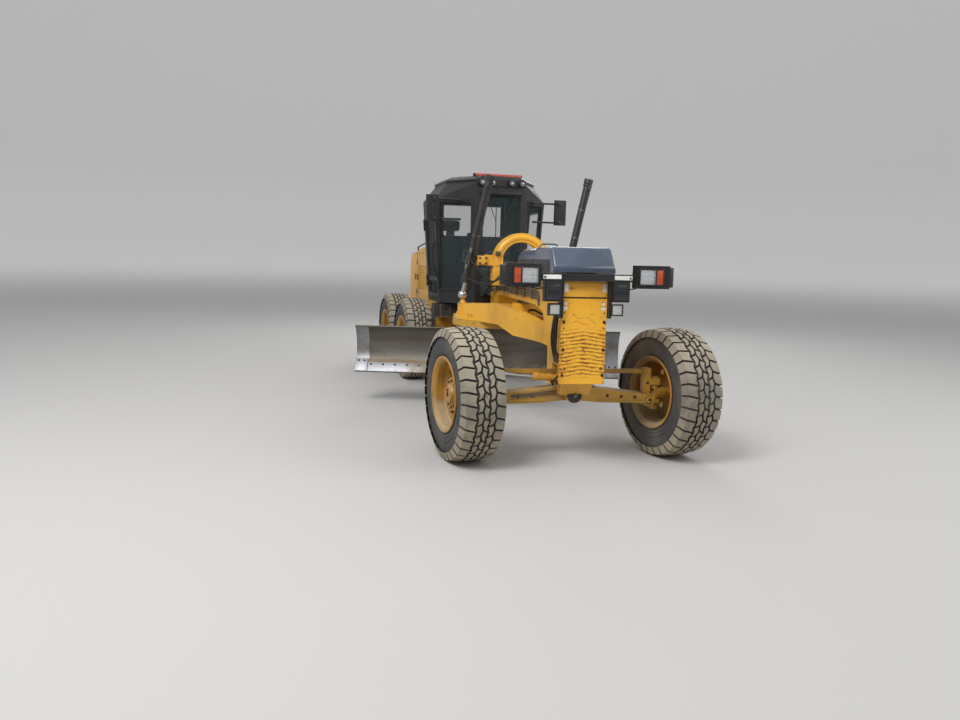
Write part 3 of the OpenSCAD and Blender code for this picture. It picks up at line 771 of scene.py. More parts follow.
class Tyre:
    """A worn block-tread tyre that stands for its CAD solid."""

    def __init__(self, size: TyreSize) -> None:
        """Keeps the sizes."""
        self.size = size

    def crown(self, across: float) -> tuple[float, float]:
        """Radius and place across the tyre of the tread's floor.

        Args:
            across: From -1, one shoulder's foot, to 1, the other's.

        Returns:
            Radius and distance from the middle plane.
        """
        s = self.size
        floor, flat = s.radius - s.depth, s.half - 0.05
        t, sign = abs(across), math.copysign(1.0, across)
        if t < 0.8:
            return floor - 0.014 * (t / 0.8) ** 2, sign * t / 0.8 * flat
        bend = (t - 0.8) / 0.2
        return floor - 0.014 - 0.07 * bend ** 1.7, sign * (flat + (s.half - 0.012 - flat) * math.sin(bend * 1.5))

    def carcass(self, form: Form) -> None:
        """Adds the casing with its ribbed side walls.

        Args:
            form: Where it goes.
        """
        s = self.size
        rim = [(s.bead - 0.034, s.half - 0.042), (s.bead + 0.002, s.half - 0.022), (s.bead + 0.02, s.half - 0.014),
               (s.bead + 0.045, s.half - 0.004), (s.bead + 0.05, s.half - 0.008), (s.bead + 0.09, s.half - 0.001),
               (s.bead + 0.095, s.half - 0.006), (s.bead + 0.14, s.half - 0.003), (s.bead + 0.165, s.half - 0.009)]
        top = [self.crown(i / 10) for i in range(10, -11, -1)]
        form.lathe([*rim, *top, *((r, -x) for r, x in reversed(rim)), rim[0]], Matrix(), 96)

    def tread(self, form: Form) -> None:
        """Adds the blocks: staggered columns that interlock along wavy grooves.

        Args:
            form: Where they go.
        """
        s = self.size
        columns, around = len(s.columns), s.pitch * 2
        bm = bmesh.new()
        bmesh.ops.create_grid(bm, x_segments=columns, y_segments=around, size=1.0)
        blocks: dict[tuple[int, int], list[bmesh.types.BMFace]] = {}
        for face in bm.faces:
            middle = face.calc_center_median()
            col, row = int((middle.x + 1) * columns / 2), int((middle.y + 1) * around / 2)
            block = s.columns[col]
            blocks.setdefault((block, (row + block % 2) // 2 % s.pitch), []).append(face)
        cell = math.tau / around
        for v in bm.verts:
            col, row = round((v.co.x + 1) * columns / 2), round((v.co.y + 1) * around / 2)
            across, swing, turn = s.bounds[col]
            angle = cell * (row + turn)
            radius, x = self.crown(across + s.wave * swing * (-1) ** row)
            v.co = (radius * math.cos(angle), radius * math.sin(angle), x)
        bmesh.ops.remove_doubles(bm, verts=bm.verts, dist=1e-4)
        bmesh.ops.recalc_face_normals(bm, faces=bm.faces)
        for block in blocks.values():
            bmesh.ops.inset_region(bm, faces=block, thickness=s.groove / 2, use_even_offset=True)
            bmesh.ops.inset_region(bm, faces=block, thickness=0.004, depth=s.depth, use_even_offset=True)
            for face in block:
                face.material_index = 1
        form.join(bm, Matrix())

    def build(self, shop: "Shop", where: str, base: Matrix, turn: float) -> None:
        """Makes one tyre.

        Args:
            shop: Pose and finishes.
            where: Wheel, such as front_left.
            base: Placing of the wheel's centre, its axis along X.
            turn: Turn of the tread about the axis, in degrees.
        """
        form = Form()
        self.carcass(form)
        self.tread(form)
        spin = base @ Matrix.Rotation(math.radians(90), 4, "Y") @ Matrix.Rotation(math.radians(turn), 4, "Z")
        obj = shop.put(form, "tread_" + where, "wheel_" + where, "tyre", spin, 30.0, ("tyre_" + where,))
        obj.data.materials.append(shop.coats["tread"][1])


@dataclass(frozen=True)
class Shop:
    """What every sub-assembly needs: the pose and the finishes.

    Attributes:
        pose: How the machine stands.
        coats: Name of a finish to its record slot and material.
    """

    pose: Pose
    coats: dict[str, tuple[str, bpy.types.Material]]

    def put(self, form: Form, name: str, body: str | Span, coat: str, base: Matrix,
            smooth: float = 35.0, stands: tuple[str, ...] = ()) -> bpy.types.Object:
        """Finishes a form in one of the coats.

        Args:
            form: The mesh in the making.
            name: Name of the piece.
            body: What it rides on.
            coat: Name of the finish.
            base: Placing of the form's frame.
            smooth: Angle under which faces are shaded as one.
            stands: CAD nodes that it replaces.

        Returns:
            The object.
        """
        return form.finish(name, body, *self.coats[coat], base, smooth, stands)


class Fittings:
    """A sub-assembly's fittings, made in the frame of the body that carries most of them."""

    BODY = "front_frame"

    def __init__(self, shop: Shop) -> None:
        """Keeps the pose, the finishes and the frame.

        Args:
            shop: Pose and finishes.
        """
        self.shop = shop
        self.base = shop.pose.front if self.BODY == "front_frame" else shop.pose.rear

    def put(self, *rows: tuple[Form, str, str]) -> None:
        """Finishes forms that ride on the sub-assembly's own body.

        Args:
            rows: Form, name and finish of each piece.
        """
        for form, name, coat in rows:
            self.shop.put(form, name, self.BODY, coat, self.base)


class Plumbing:
    """Hoses, hard lines and their fittings on one body."""

    def __init__(self, shop: Shop, name: str, body: str | Span, base: Matrix) -> None:
        """Starts with nothing fitted.

        Args:
            shop: Pose and finishes.
            name: Name of the run.
            body: What it rides on.
            base: Placing of its frame.
        """
        self.shop, self.name, self.body, self.base = shop, name, body, base
        self.rubber, self.metal = Form(), Form()

    def hose(self, points: Sequence[Point], radius: float = 0.012) -> "Plumbing":
        """Adds a hose with a crimped, hexagonal fitting at each end.

        Args:
            points: Points that it passes.
            radius: Its radius.

        Returns:
            The plumbing.
        """
        path = curve(points)
        self.rubber.tube(path, radius)
        for end, inner in ((path[0], path[1]), (path[-1], path[-2])):
            way = (inner - end).normalized()
            self.metal.rod(end - way * 0.014, end + way * 0.012, radius * 1.5, sides=6, soft=0.001)
            self.metal.rod(end + way * 0.012, end + way * 0.055, radius * 1.3, sides=16, soft=0.0015)
        return self

    def line(self, points: Sequence[Point], radius: float = 0.008) -> "Plumbing":
        """Adds a bent steel line."""
        self.metal.tube(curve(points, 5), radius, 10)
        return self

    def clamp(self, low: Point, high: Point, axis: Point) -> "Plumbing":
        """Adds a block that holds lines, with a bolt on one face.

        Args:
            low: Lowest corner.
            high: Highest corner.
            axis: Direction in which the bolt's face looks.

        Returns:
            The plumbing.
        """
        self.metal.box(low, high, 0.003)
        lo, hi, out = Vector(low), Vector(high), Vector(axis)
        half = (hi - lo) / 2
        self.metal.bolt((lo + hi) / 2 + Vector([h * o for h, o in zip(half, out)]), axis, 0.009, 0.009)
        return self

    def done(self) -> None:
        """Makes the pieces."""
        if self.rubber.bm.verts:
            self.shop.put(self.rubber, self.name + "_hoses", self.body, "hose", self.base, 60.0)
        else:
            self.rubber.bm.free()
        self.shop.put(self.metal, self.name + "_fittings", self.body, "zinc", self.base)


@dataclass(frozen=True)
class RimSize:
    """Sizes of a wheel's fittings, in metres along its axis and from it.

    Attributes:
        disc: Outer face of the disc.
        hub: Outer face of the hub.
        cap: Outer end of the hub's cap.
        nuts: Radius of the ring of nuts.
        count: Nuts in the ring.
    """

    disc: float = 0.081
    hub: float = 0.125
    cap: float = 0.168
    nuts: float = 0.197
    count: int = 12


class Wheel:
    """Tyre, nuts, hub cap, split lock ring and valve of one wheel."""

    def __init__(self, shop: Shop, axle: str, side: Side) -> None:
        """Finds the wheel's place from its CAD tyre.

        Args:
            shop: Pose and finishes.
            axle: front, mid or rear.
            side: Side of the machine.
        """
        self.shop, self.axle, self.side, self.size = shop, axle, side, RimSize()
        low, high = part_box(f"tyre_{axle}_{side.tag}")
        angle = shop.pose.steer if axle == "front" else shop.pose.fold
        self.base = Matrix.Translation((low + high) / 2) @ Matrix.Rotation(math.radians(angle), 4, "Z")

    def build(self) -> None:
        """Makes the wheel's pieces."""
        tag = f"{self.axle}_{self.side.tag}"
        Tyre(TyreSize()).build(self.shop, tag, self.base, 37.0 * len(tag))
        out = self.base @ Matrix.Rotation(math.radians(90 * self.side.value), 4, "Y")
        body, s = "wheel_" + tag, self.size
        nuts, cap = Form(), Form()
        for px, py in around(s.count, s.nuts, 0.5):
            foot = Vector((px, py, s.disc))
            nuts.bolt(foot, (0, 0, 1), 0.017, 0.024)
            nuts.rod(foot, foot + Vector((0, 0, 0.036)), 0.009, sides=14, soft=0.002)
        for px, py in around(10, 0.137):
            nuts.bolt((px, py, s.hub), (0, 0, 1), 0.011, 0.012)
        cap.lathe([(0.0, s.cap), (0.07, s.cap), (0.088, s.cap - 0.006), (0.098, s.cap - 0.022),
                   (0.102, s.hub + 0.01), (0.118, s.hub + 0.008), (0.12, s.hub)], Matrix(), 40)
        cap.lathe([(0.338, 0.187), (0.342, 0.196), (0.352, 0.205), (0.36, 0.213), (0.366, 0.212), (0.364, 0.205)],
                  Matrix(), 72)
        cap.lathe([(0.319, s.disc), (0.326, s.disc + 0.007), (0.331, s.disc + 0.015)], Matrix(), 60)
        nuts.bolt((0.045, 0.0, s.cap), (0, 0, 1), 0.012, 0.01)
        nuts.rod((0.0, 0.0, s.cap), (0.0, 0.0, s.cap + 0.004), 0.028, sides=24, soft=0.001)
        nuts.rod((0.302, 0.03, s.disc), (0.322, 0.034, s.disc + 0.052), 0.0055, sides=12)
        nuts.rod((0.318, 0.033, s.disc + 0.04), (0.325, 0.035, s.disc + 0.06), 0.008, sides=12, soft=0.001)
        self.shop.put(nuts, "nuts_" + tag, body, "nuts", out)
        self.shop.put(cap, "hub_cap_" + tag, body, "rim", out)


class Nose(Fittings):
    """Sheets, bolts and plain stickers of the push plate, lamps, and the nose hood's shell."""

    FACE = -0.48

    def build(self) -> None:
        """Makes the nose's pieces."""
        self.plate()
        self.lamps()
        self.hood()

    def plate(self) -> None:
        """Upper sheet, seam, bushes, bolts and plain stickers of the push plate."""
        sheet, bolts, marks, face = Form(), Form(), Form(), self.FACE
        sheet.box((-0.222, -0.488, 1.702), (0.222, face, 1.846), 0.003)
        bolts.box((-0.218, -0.482, 1.688), (0.218, face, 1.702), 0.0)
        for side in Side:
            x = side.value
            sheet.box((0.212 * x, -0.486, 0.86), (0.223 * x, face, 1.69), 0.002)
            for z in (1.0, 1.64):
                sheet.lathe([(0.0185, 0.0), (0.0185, 0.006), (0.03, 0.006), (0.033, 0.0)],
                            facing((0.185 * x, face, z), (0, -1, 0)), 28)
            for z in (1.46, 1.19, 0.94):
                bolts.bolt((0.205 * x, face, z), (0, -1, 0), 0.0125, 0.014)
            for z in (1.4, 1.08, 1.26, 1.55):
                bolts.rod((0.2 * x, face, z), (0.2 * x, -0.484, z), 0.007, sides=12, soft=0.001)
            for z, top in ((1.79, True), (1.615, False)):
                y = -0.488 if top else face
                marks.box((0.17 * x, y - 0.001, z - 0.04), (0.209 * x, y, z + 0.04), 0.0)
        self.put((sheet, "plate_sheets", "plate"), (bolts, "plate_bolts", "nuts"), (marks, "plate_stickers", "white"))

    def lamps(self) -> None:
        """Head lamps, turn lamps, work lamps and their wiring."""
        clear, amber, frame, bright, dark, led = Form(), Form(), Form(), Form(), Form(), Form()
        white, cables = Form(), Plumbing(self.shop, "lamp", "front_frame", self.base)
        for side in Side:
            x = side.value
            for inner, outer, form in ((0.5, 0.652, clear), (0.664, 0.73, amber)):
                form.box((inner * x, -0.6145, 1.836), (outer * x, -0.602, 1.976), 0.012)
                for low, high in (((inner - 0.009, 1.824), (inner, 1.988)), ((outer, 1.824), (outer + 0.009, 1.988)),
                                  ((inner, 1.824), (outer, 1.836)), ((inner, 1.976), (outer, 1.988))):
                    frame.box((low[0] * x, -0.618, low[1]), (high[0] * x, -0.6, high[1]), 0.003)
            frame.rod((0.8 * x, -0.545, 1.81), (0.8 * x, -0.545, 2.0), 0.055, sides=28, soft=0.01)
            facets = bmesh.new()
            bmesh.ops.create_grid(facets, x_segments=3, y_segments=3, size=0.5)
            bmesh.ops.poke(facets, faces=facets.faces, offset=0.16)
            bright.join(facets, facing((0.576 * x, -0.6005, 1.906), (0, -1, 0))
                        @ Matrix.Diagonal((0.14, 0.15, 0.05, 1.0)))
            for i in range(7):
                z = 1.83 + 0.025 * i
                frame.box((0.5 * x, -0.47, z), (0.77 * x, -0.45, z + 0.007), 0.001)
            for low, high in (((0.258, 1.675), (0.412, 1.69)), ((0.258, 1.83), (0.412, 1.845)),
                              ((0.258, 1.69), (0.27, 1.83)), ((0.4, 1.69), (0.412, 1.83))):
                frame.box((low[0] * x, -0.572, low[1]), (high[0] * x, -0.56, high[1]), 0.004)
            dark.box((0.268 * x, -0.568, 1.688), (0.402 * x, -0.56, 1.832), 0.014)
            led.box((0.264 * x, -0.537, 1.538), (0.356 * x, -0.53, 1.628), 0.006)
            white.box((0.262 * x, -0.5612, 1.872), (0.44 * x, -0.56, 1.914), 0.0)
            for low, high in (((0.25, 1.527), (0.37, 1.538)), ((0.25, 1.628), (0.37, 1.639)),
                              ((0.25, 1.538), (0.264, 1.628)), ((0.356, 1.538), (0.37, 1.628))):
                frame.box((low[0] * x, -0.54, low[1]), (high[0] * x, -0.53, high[1]), 0.003)
            for z in (1.56, 1.72, 1.83):
                cables.metal.bolt((0.255 * x, -0.5, z), (x, 0, 0), 0.011, 0.01)
            for px in (0.3, 0.42):
                cables.metal.bolt((px * x, -0.56, 1.89 if px > 0.4 else 1.866), (0, -1, 0), 0.008, 0.006)
            cables.hose([(0.6 * x, -0.47, 1.86), (0.55 * x, -0.43, 1.8), (0.42 * x, -0.42, 1.78),
                         (0.28 * x, -0.40, 1.86), (0.2 * x, -0.38, 1.89)], 0.006)
            cables.hose([(0.34 * x, -0.46, 1.72), (0.31 * x, -0.43, 1.68), (0.25 * x, -0.4, 1.72),
                         (0.17 * x, -0.37, 1.78)], 0.005)
        self.put((clear, "head_lenses", "lens"), (amber, "turn_lenses", "amber"), (frame, "lamp_frames", "plastic"))
        self.shop.put(bright, "lamp_reflectors", "front_frame", "chrome", self.base, 5.0)
        self.put((dark, "work_lenses", "dark_lens"), (led, "led_lenses", "led"),
                 (white, "light_bar_stickers", "white"))
        cables.done()

    def hood(self) -> None:
        """Shell, seams, latches, handle and vents of the nose hood, black sheets on its sides as painted shade, and the
        hoses at its sides.
        """
        trim, metal, shell = Form(), Form(), Form()
        shell.slab([(-0.44, 1.935), (-0.44, 1.99), (-0.29, 2.18), (0.36, 2.18), (0.36, 1.9), (-0.3, 1.9)],
                   -0.31, 0.31, 1.96, 0.12)
        shell.slab([(0.366, 1.9), (0.366, 2.18), (1.21, 2.18), (1.29, 1.9)], -0.31, 0.31, 1.96, 0.12)
        self.shop.put(shell, "nose_shell", "front_frame", "hood", self.base, 40.0, ("nose_hood",))
        trim.box((-0.3, 0.35, 1.9), (0.3, 0.375, 2.165), 0.05)
        for side in Side:
            x = side.value
            # Thin black sheets along the hood's sides: painted shade, dark sheets laid where the hood's sides lie in
            # shadow.
            for low, high in ((-0.29, 0.33), (0.39, 1.2)):
                trim.box((0.309 * x, low, 1.908), (0.3135 * x, high, 2.055), 0.002)
            for y in (0.0, 0.75):
                trim.box((0.31 * x, y, 1.93), (0.322 * x, y + 0.05, 2.0), 0.004)
                metal.box((0.322 * x, y + 0.015, 1.94), (0.328 * x, y + 0.035, 1.985), 0.002)
            for i in range(5):
                z = 1.95 + 0.022 * i
                trim.box((0.31 * x, 0.84, z), (0.319 * x, 1.08, z + 0.01), 0.002)
            for y in (-0.28, 0.3, 0.44, 1.1):
                metal.bolt((0.3135 * x, y, 1.925), (x, 0, 0), 0.008, 0.007)
        metal.tube(curve([(-0.1, 1.02, 2.17), (-0.1, 1.02, 2.215), (-0.06, 1.02, 2.23), (0.06, 1.02, 2.23),
                          (0.1, 1.02, 2.215), (0.1, 1.02, 2.17)]), 0.009)
        lines = Plumbing(self.shop, "nose_side", "front_frame", self.base)
        for i in range(4):
            y, drop = -0.33 + 0.035 * i, 0.05 * (i % 2)
            lines.hose([(-0.19, y, 1.62), (-0.232, y - 0.02, 1.5), (-0.245 - 0.012 * (i % 2), y - 0.03, 1.3),
                        (-0.238, y - 0.01, 1.16), (-0.2, y + 0.02, 1.1 - drop)], 0.013)
        lines.done()
        self.put((trim, "nose_hood_trim", "plastic"), (metal, "nose_hood_latches", "zinc"))


@dataclass(frozen=True)
class LiftSize:
    """Sizes of a blade lift cylinder, in metres.

    Attributes:
        trunnion: Place of the left trunnion.
        stud: Distance out and height of the ball stud on the drawbar.
        above: Length of the barrel over the trunnion.
        length: Length of the barrel.
    """

    trunnion: Point = (0.68, 2.56, 2.05)
    stud: Point = (0.68, 2.6, 1.56)
    above: float = 1.11
    length: float = 1.44


class Saddle(Fittings):
    """Arch, bearing caps and hoses of the saddle, and the lift cylinders' fittings."""

    SIZE = LiftSize()

    def build(self) -> None:
        """Makes the saddle's pieces."""
        caps, bolts = Form(), Form()
        arch = bmesh.new()
        rib = bmesh.ops.create_circle(arch, segments=20, radius=1.0,
                                      matrix=Matrix.Translation((0.33, 0, 0))
                                      @ Matrix.Diagonal((0.063, 0.088, 1.0, 1.0)))["verts"]
        bmesh.ops.spin(arch, geom=[*rib, *{e for v in rib for e in v.link_edges}], axis=(0, -1, 0),
                       angle=math.radians(196), steps=36)
        caps.join(arch, Matrix.Translation((0, 2.56, 2.01)) @ Matrix.Rotation(math.radians(8), 4, "Y"))
        for x in (-1, 1):
            for y, out in ((2.478, -1), (2.642, 1)):
                rim = y + 0.03 * out
                bolts.rod((0.33 * x, y, 2.12), (0.33 * x, rim, 2.12), 0.036, sides=28, soft=0.004)
                bolts.rod((0.33 * x, rim, 2.12), (0.33 * x, y + 0.036 * out, 2.12), 0.014, sides=6, soft=0.001)
        for side in Side:
            x = side.value
            caps.box((0.47 * x, 2.468, 1.972), (0.592 * x, 2.49, 2.078), 0.006)
            caps.box((0.3 * x, 2.52, 2.088), (0.5 * x, 2.6, 2.102), 0.004)
            for px, z in ((0.49, 1.99), (0.49, 2.06), (0.572, 1.99), (0.572, 2.06)):
                bolts.bolt((px * x, 2.468, z), (0, -1, 0), 0.012, 0.013)
            for px, y in ((0.32, 2.535), (0.32, 2.585), (0.48, 2.535), (0.48, 2.585)):
                bolts.bolt((px * x, y, 2.102), (0, 0, 1), 0.01, 0.01)
            self.lift(side)
        self.put((caps, "saddle_caps", "yellow"), (bolts, "saddle_bolts", "zinc"))

    def lift(self, side: Side) -> None:
        """Fittings and hoses of one lift cylinder.

        Args:
            side: Its side.
        """
        s, x = self.SIZE, side.value
        swing = math.radians(self.shop.pose.swing)
        ball = self.shop.pose.ball[1]
        across, back = s.stud[0] * x, s.stud[1] - ball
        stud = Vector((across * math.cos(swing) - back * math.sin(swing),
                       ball + back * math.cos(swing) - across * math.sin(swing), s.stud[2]))
        pivot = Vector((s.trunnion[0] * x, *s.trunnion[1:]))
        up = (pivot - stud).normalized()
        top = pivot + up * s.above
        turn = up.to_track_quat("Z", "Y").to_matrix().to_4x4()
        local = self.base @ Matrix.Translation(top) @ turn
        face = turn.to_3x3().inverted() @ Vector((0.35 * x, -1.0, 0.0))
        face.z = 0.0
        face.normalize()
        body, name = "lift_barrel_" + side.tag, "lift_" + side.tag
        ends, bolts = Form(), Form()
        ends.rod((0, 0, -0.012), (0, 0, 0.0), 0.056, sides=40, soft=0.003)
        ends.lathe([(0.05, -0.075), (0.063, -0.078), (0.063, -0.09), (0.05, -0.094)], Matrix(), 40)
        for z in (-s.above + 0.09, -s.above - 0.09):
            ends.lathe([(0.05, z + 0.012), (0.0665, z + 0.01), (0.068, z), (0.0665, z - 0.01), (0.05, z - 0.012)],
                       Matrix(), 40)
        for upper, lower in zip(around(6, 0.042), around(6, 0.055)):
            bolts.bolt((*upper, -0.001), (0, 0, 1), 0.008, 0.009)
            bolts.bolt((*lower, -s.length + 0.001), (0, 0, -1), 0.006, 0.008)
        for z in (-0.12, -s.length + 0.11):
            place = facing((0, 0, z), face)
            ends.box((-0.024, -0.028, 0.035), (0.024, 0.028, 0.072), 0.004, place)
        self.shop.put(ends, name + "_ends", body, "gray", local)
        self.shop.put(bolts, name + "_bolts", body, "zinc", local)
        run = Plumbing(self.shop, name + "_line", body, local)
        pipe = Form()
        low = -s.length + 0.11
        pipe.tube(curve([face * 0.068 + Vector((0, 0, -0.12)), face * 0.084 + Vector((0, 0, -0.17)),
                         face * 0.072 + Vector((0, 0, -0.4)), face * 0.072 + Vector((0, 0, -0.95))], 5), 0.009, 10)
        self.shop.put(pipe, name + "_pipe", body, "gray", local, 60.0)
        run.line([face * 0.084 + Vector((0, 0, -0.96)), face * 0.094 + Vector((0, 0, -1.1)),
                  face * 0.09 + Vector((0, 0, low + 0.08)), face * 0.07 + Vector((0, 0, low))], 0.009)
        for z in (-0.42, -0.8):
            run.metal.lathe([(0.0505, -0.01), (0.0525, -0.01), (0.0525, 0.01), (0.0505, 0.01)],
                            Matrix.Translation((0, 0, z)), 36)
        run.done()
        self.loops(side, name, top, up, turn.to_3x3() @ face)

    def loops(self, side: Side, name: str, top: Vector, up: Vector, face: Vector) -> None:
        """Hoses that hang from the saddle to a lift barrel.

        Args:
            side: Side of the machine.
            name: Name of the run.
            top: Upper end of the barrel.
            up: Direction of the barrel.
            face: Direction in which its ports look.
        """
        x = side.value
        for i, drop in enumerate((0.98, 1.2)):
            end = top - up * drop + face * 0.095 + Vector((0.012 * x, 0, 0)) * (i + 1)
            start = Vector((0.24 * x + 0.03 * i * x, 2.44, 1.87))
            path = [start, start + Vector((0.05 * x, -0.06, -0.05)),
                    Vector(((0.45 + 0.04 * i) * x, 2.36, 1.76 - 0.05 * i)), end + Vector((0.0, -0.06, -0.16)),
                    end + Vector((0.01 * x, -0.035, -0.06)), end]
            span = Span("front_frame", "lift_barrel_" + side.tag, tuple(start), tuple(end))
            Plumbing(self.shop, f"{name}_loop_{i}", span, self.base).hose(path, 0.013).done()


class Beam(Fittings):
    """Hard lines, valve bank, hinge caps and hoses of the front frame's beam and its hinge."""

    def build(self) -> None:
        """Makes the beam's pieces."""
        lines = Plumbing(self.shop, "beam", "front_frame", self.base)
        for side in Side:
            x = side.value
            for i in range(4):
                z = 1.62 + 0.03 * i
                lines.line([(0.164 * x, 0.75, z - 0.08), (0.164 * x, 0.95, z), (0.164 * x, 2.2, z), (0.164 * x, 3.2, z),
                            (0.164 * x, 3.42, z - 0.02)], 0.0085)
            for y in (1.1, 1.55, 2.0, 2.35, 2.85, 3.2):
                lines.clamp((0.15 * x, y - 0.014, 1.6), (0.178 * x, y + 0.014, 1.73), (x, 0, 0))
            for i in range(3):
                z = 1.82 - 0.03 * i
                lines.hose([(0.16 * x, 1.32 + 0.03 * i, z), (0.2 * x, 1.4, z - 0.01), (0.19 * x, 1.8, z - 0.03),
                            (0.2 * x, 2.2, z - 0.01), (0.22 * x, 2.4, 1.86 - 0.02 * i)], 0.011)
        bank, bolts = Form(), Form()
        bank.box((-0.24, 2.39, 1.83), (0.24, 2.47, 1.93), 0.006)
        for i in range(6):
            px = -0.2 + 0.08 * i
            bank.box((px - 0.03, 2.36, 1.835), (px + 0.03, 2.392, 1.925), 0.004)
            bolts.rod((px, 2.34, 1.86), (px, 2.365, 1.86), 0.014, sides=6, soft=0.001)
            bolts.rod((px, 2.34, 1.9), (px, 2.365, 1.9), 0.011, sides=6, soft=0.001)
            bolts.bolt((px, 2.42, 1.93), (0, 0, 1), 0.008, 0.008)
        hinge = self.shop.pose.hinge
        bank.lathe([(0.0, 0.018), (0.1, 0.018), (0.115, 0.012), (0.12, 0.0)], Matrix.Translation((0, hinge, 1.62)), 40)
        for px, py in around(8, 0.09):
            bolts.bolt((px, hinge + py, 1.638), (0, 0, 1), 0.013, 0.013)
        for side in Side:
            x = side.value
            for y, z in ((-0.36, 1.78), (-0.36, 1.5), (-0.36, 1.2), (-0.2, 1.78), (0.1, 1.5), (0.1, 1.2)):
                bolts.bolt((0.15 * x, y, z), (x, 0, 0), 0.014, 0.014)
            bank.box((0.15 * x, -0.3, 1.28), (0.158 * x, 0.04, 1.7), 0.004)
            for y, z in ((-0.28, 1.3), (-0.28, 1.68), (0.02, 1.3), (0.02, 1.68)):
                bolts.bolt((0.158 * x, y, z), (x, 0, 0), 0.009, 0.008)
        self.put((bank, "beam_covers", "yellow"), (bolts, "beam_bolts", "zinc"))
        lines.done()
        self.hinge()
        self.pins()

    def hinge(self) -> None:
        """Hoses that bend across the frames' hinge."""
        for side in Side:
            x = side.value
            for i in range(3):
                z = 1.7 - 0.045 * i
                start, end = (0.165 * x, 3.42, z), ((0.18 + 0.022 * i) * x, 4.3, 1.29)
                path = [start, (0.19 * x, 3.5, z), ((0.225 + 0.02 * i) * x, 3.72, z - 0.06),
                        ((0.225 + 0.02 * i) * x, 3.98, 1.51 - 0.015 * i), ((0.19 + 0.022 * i) * x, 4.2, 1.36), end]
                span = Span("front_frame", "rear_frame", (0.0, 3.5, 1.4), (0.0, 4.2, 1.4))
                Plumbing(self.shop, f"hinge_{side.tag}_{i}", span, self.base).hose(path, 0.014).done()

    def pins(self) -> None:
        """Retainers of the turning cylinders' pins and the front axle's centre pin."""
        caps, bolts, boss = Form(), Form(), Form()
        boss.lathe([(0.0, 0.012), (0.046, 0.012), (0.052, 0.018), (0.062, 0.018), (0.066, 0.012), (0.076, 0.01),
                    (0.08, 0.0)], facing((0, -0.25, 0.7), (0, -1, 0)), 48)
        bolts.rod((0, -0.262, 0.7), (0, -0.286, 0.7), 0.024, sides=6, soft=0.003)
        self.put((boss, "axle_pin_boss", "gray"))
        for side in Side:
            x = side.value
            caps.rod((0.22 * x, 3.5, 1.2757), (0.22 * x, 3.5, 1.2757 - 0.035), 0.034, sides=28, soft=0.003)
            bolts.bolt((0.22 * x, 3.5, 1.2407), (0, 0, -1), 0.013, 0.012)
        self.put((caps, "front_pin_caps", "yellow"), (bolts, "front_pin_bolts", "zinc"))


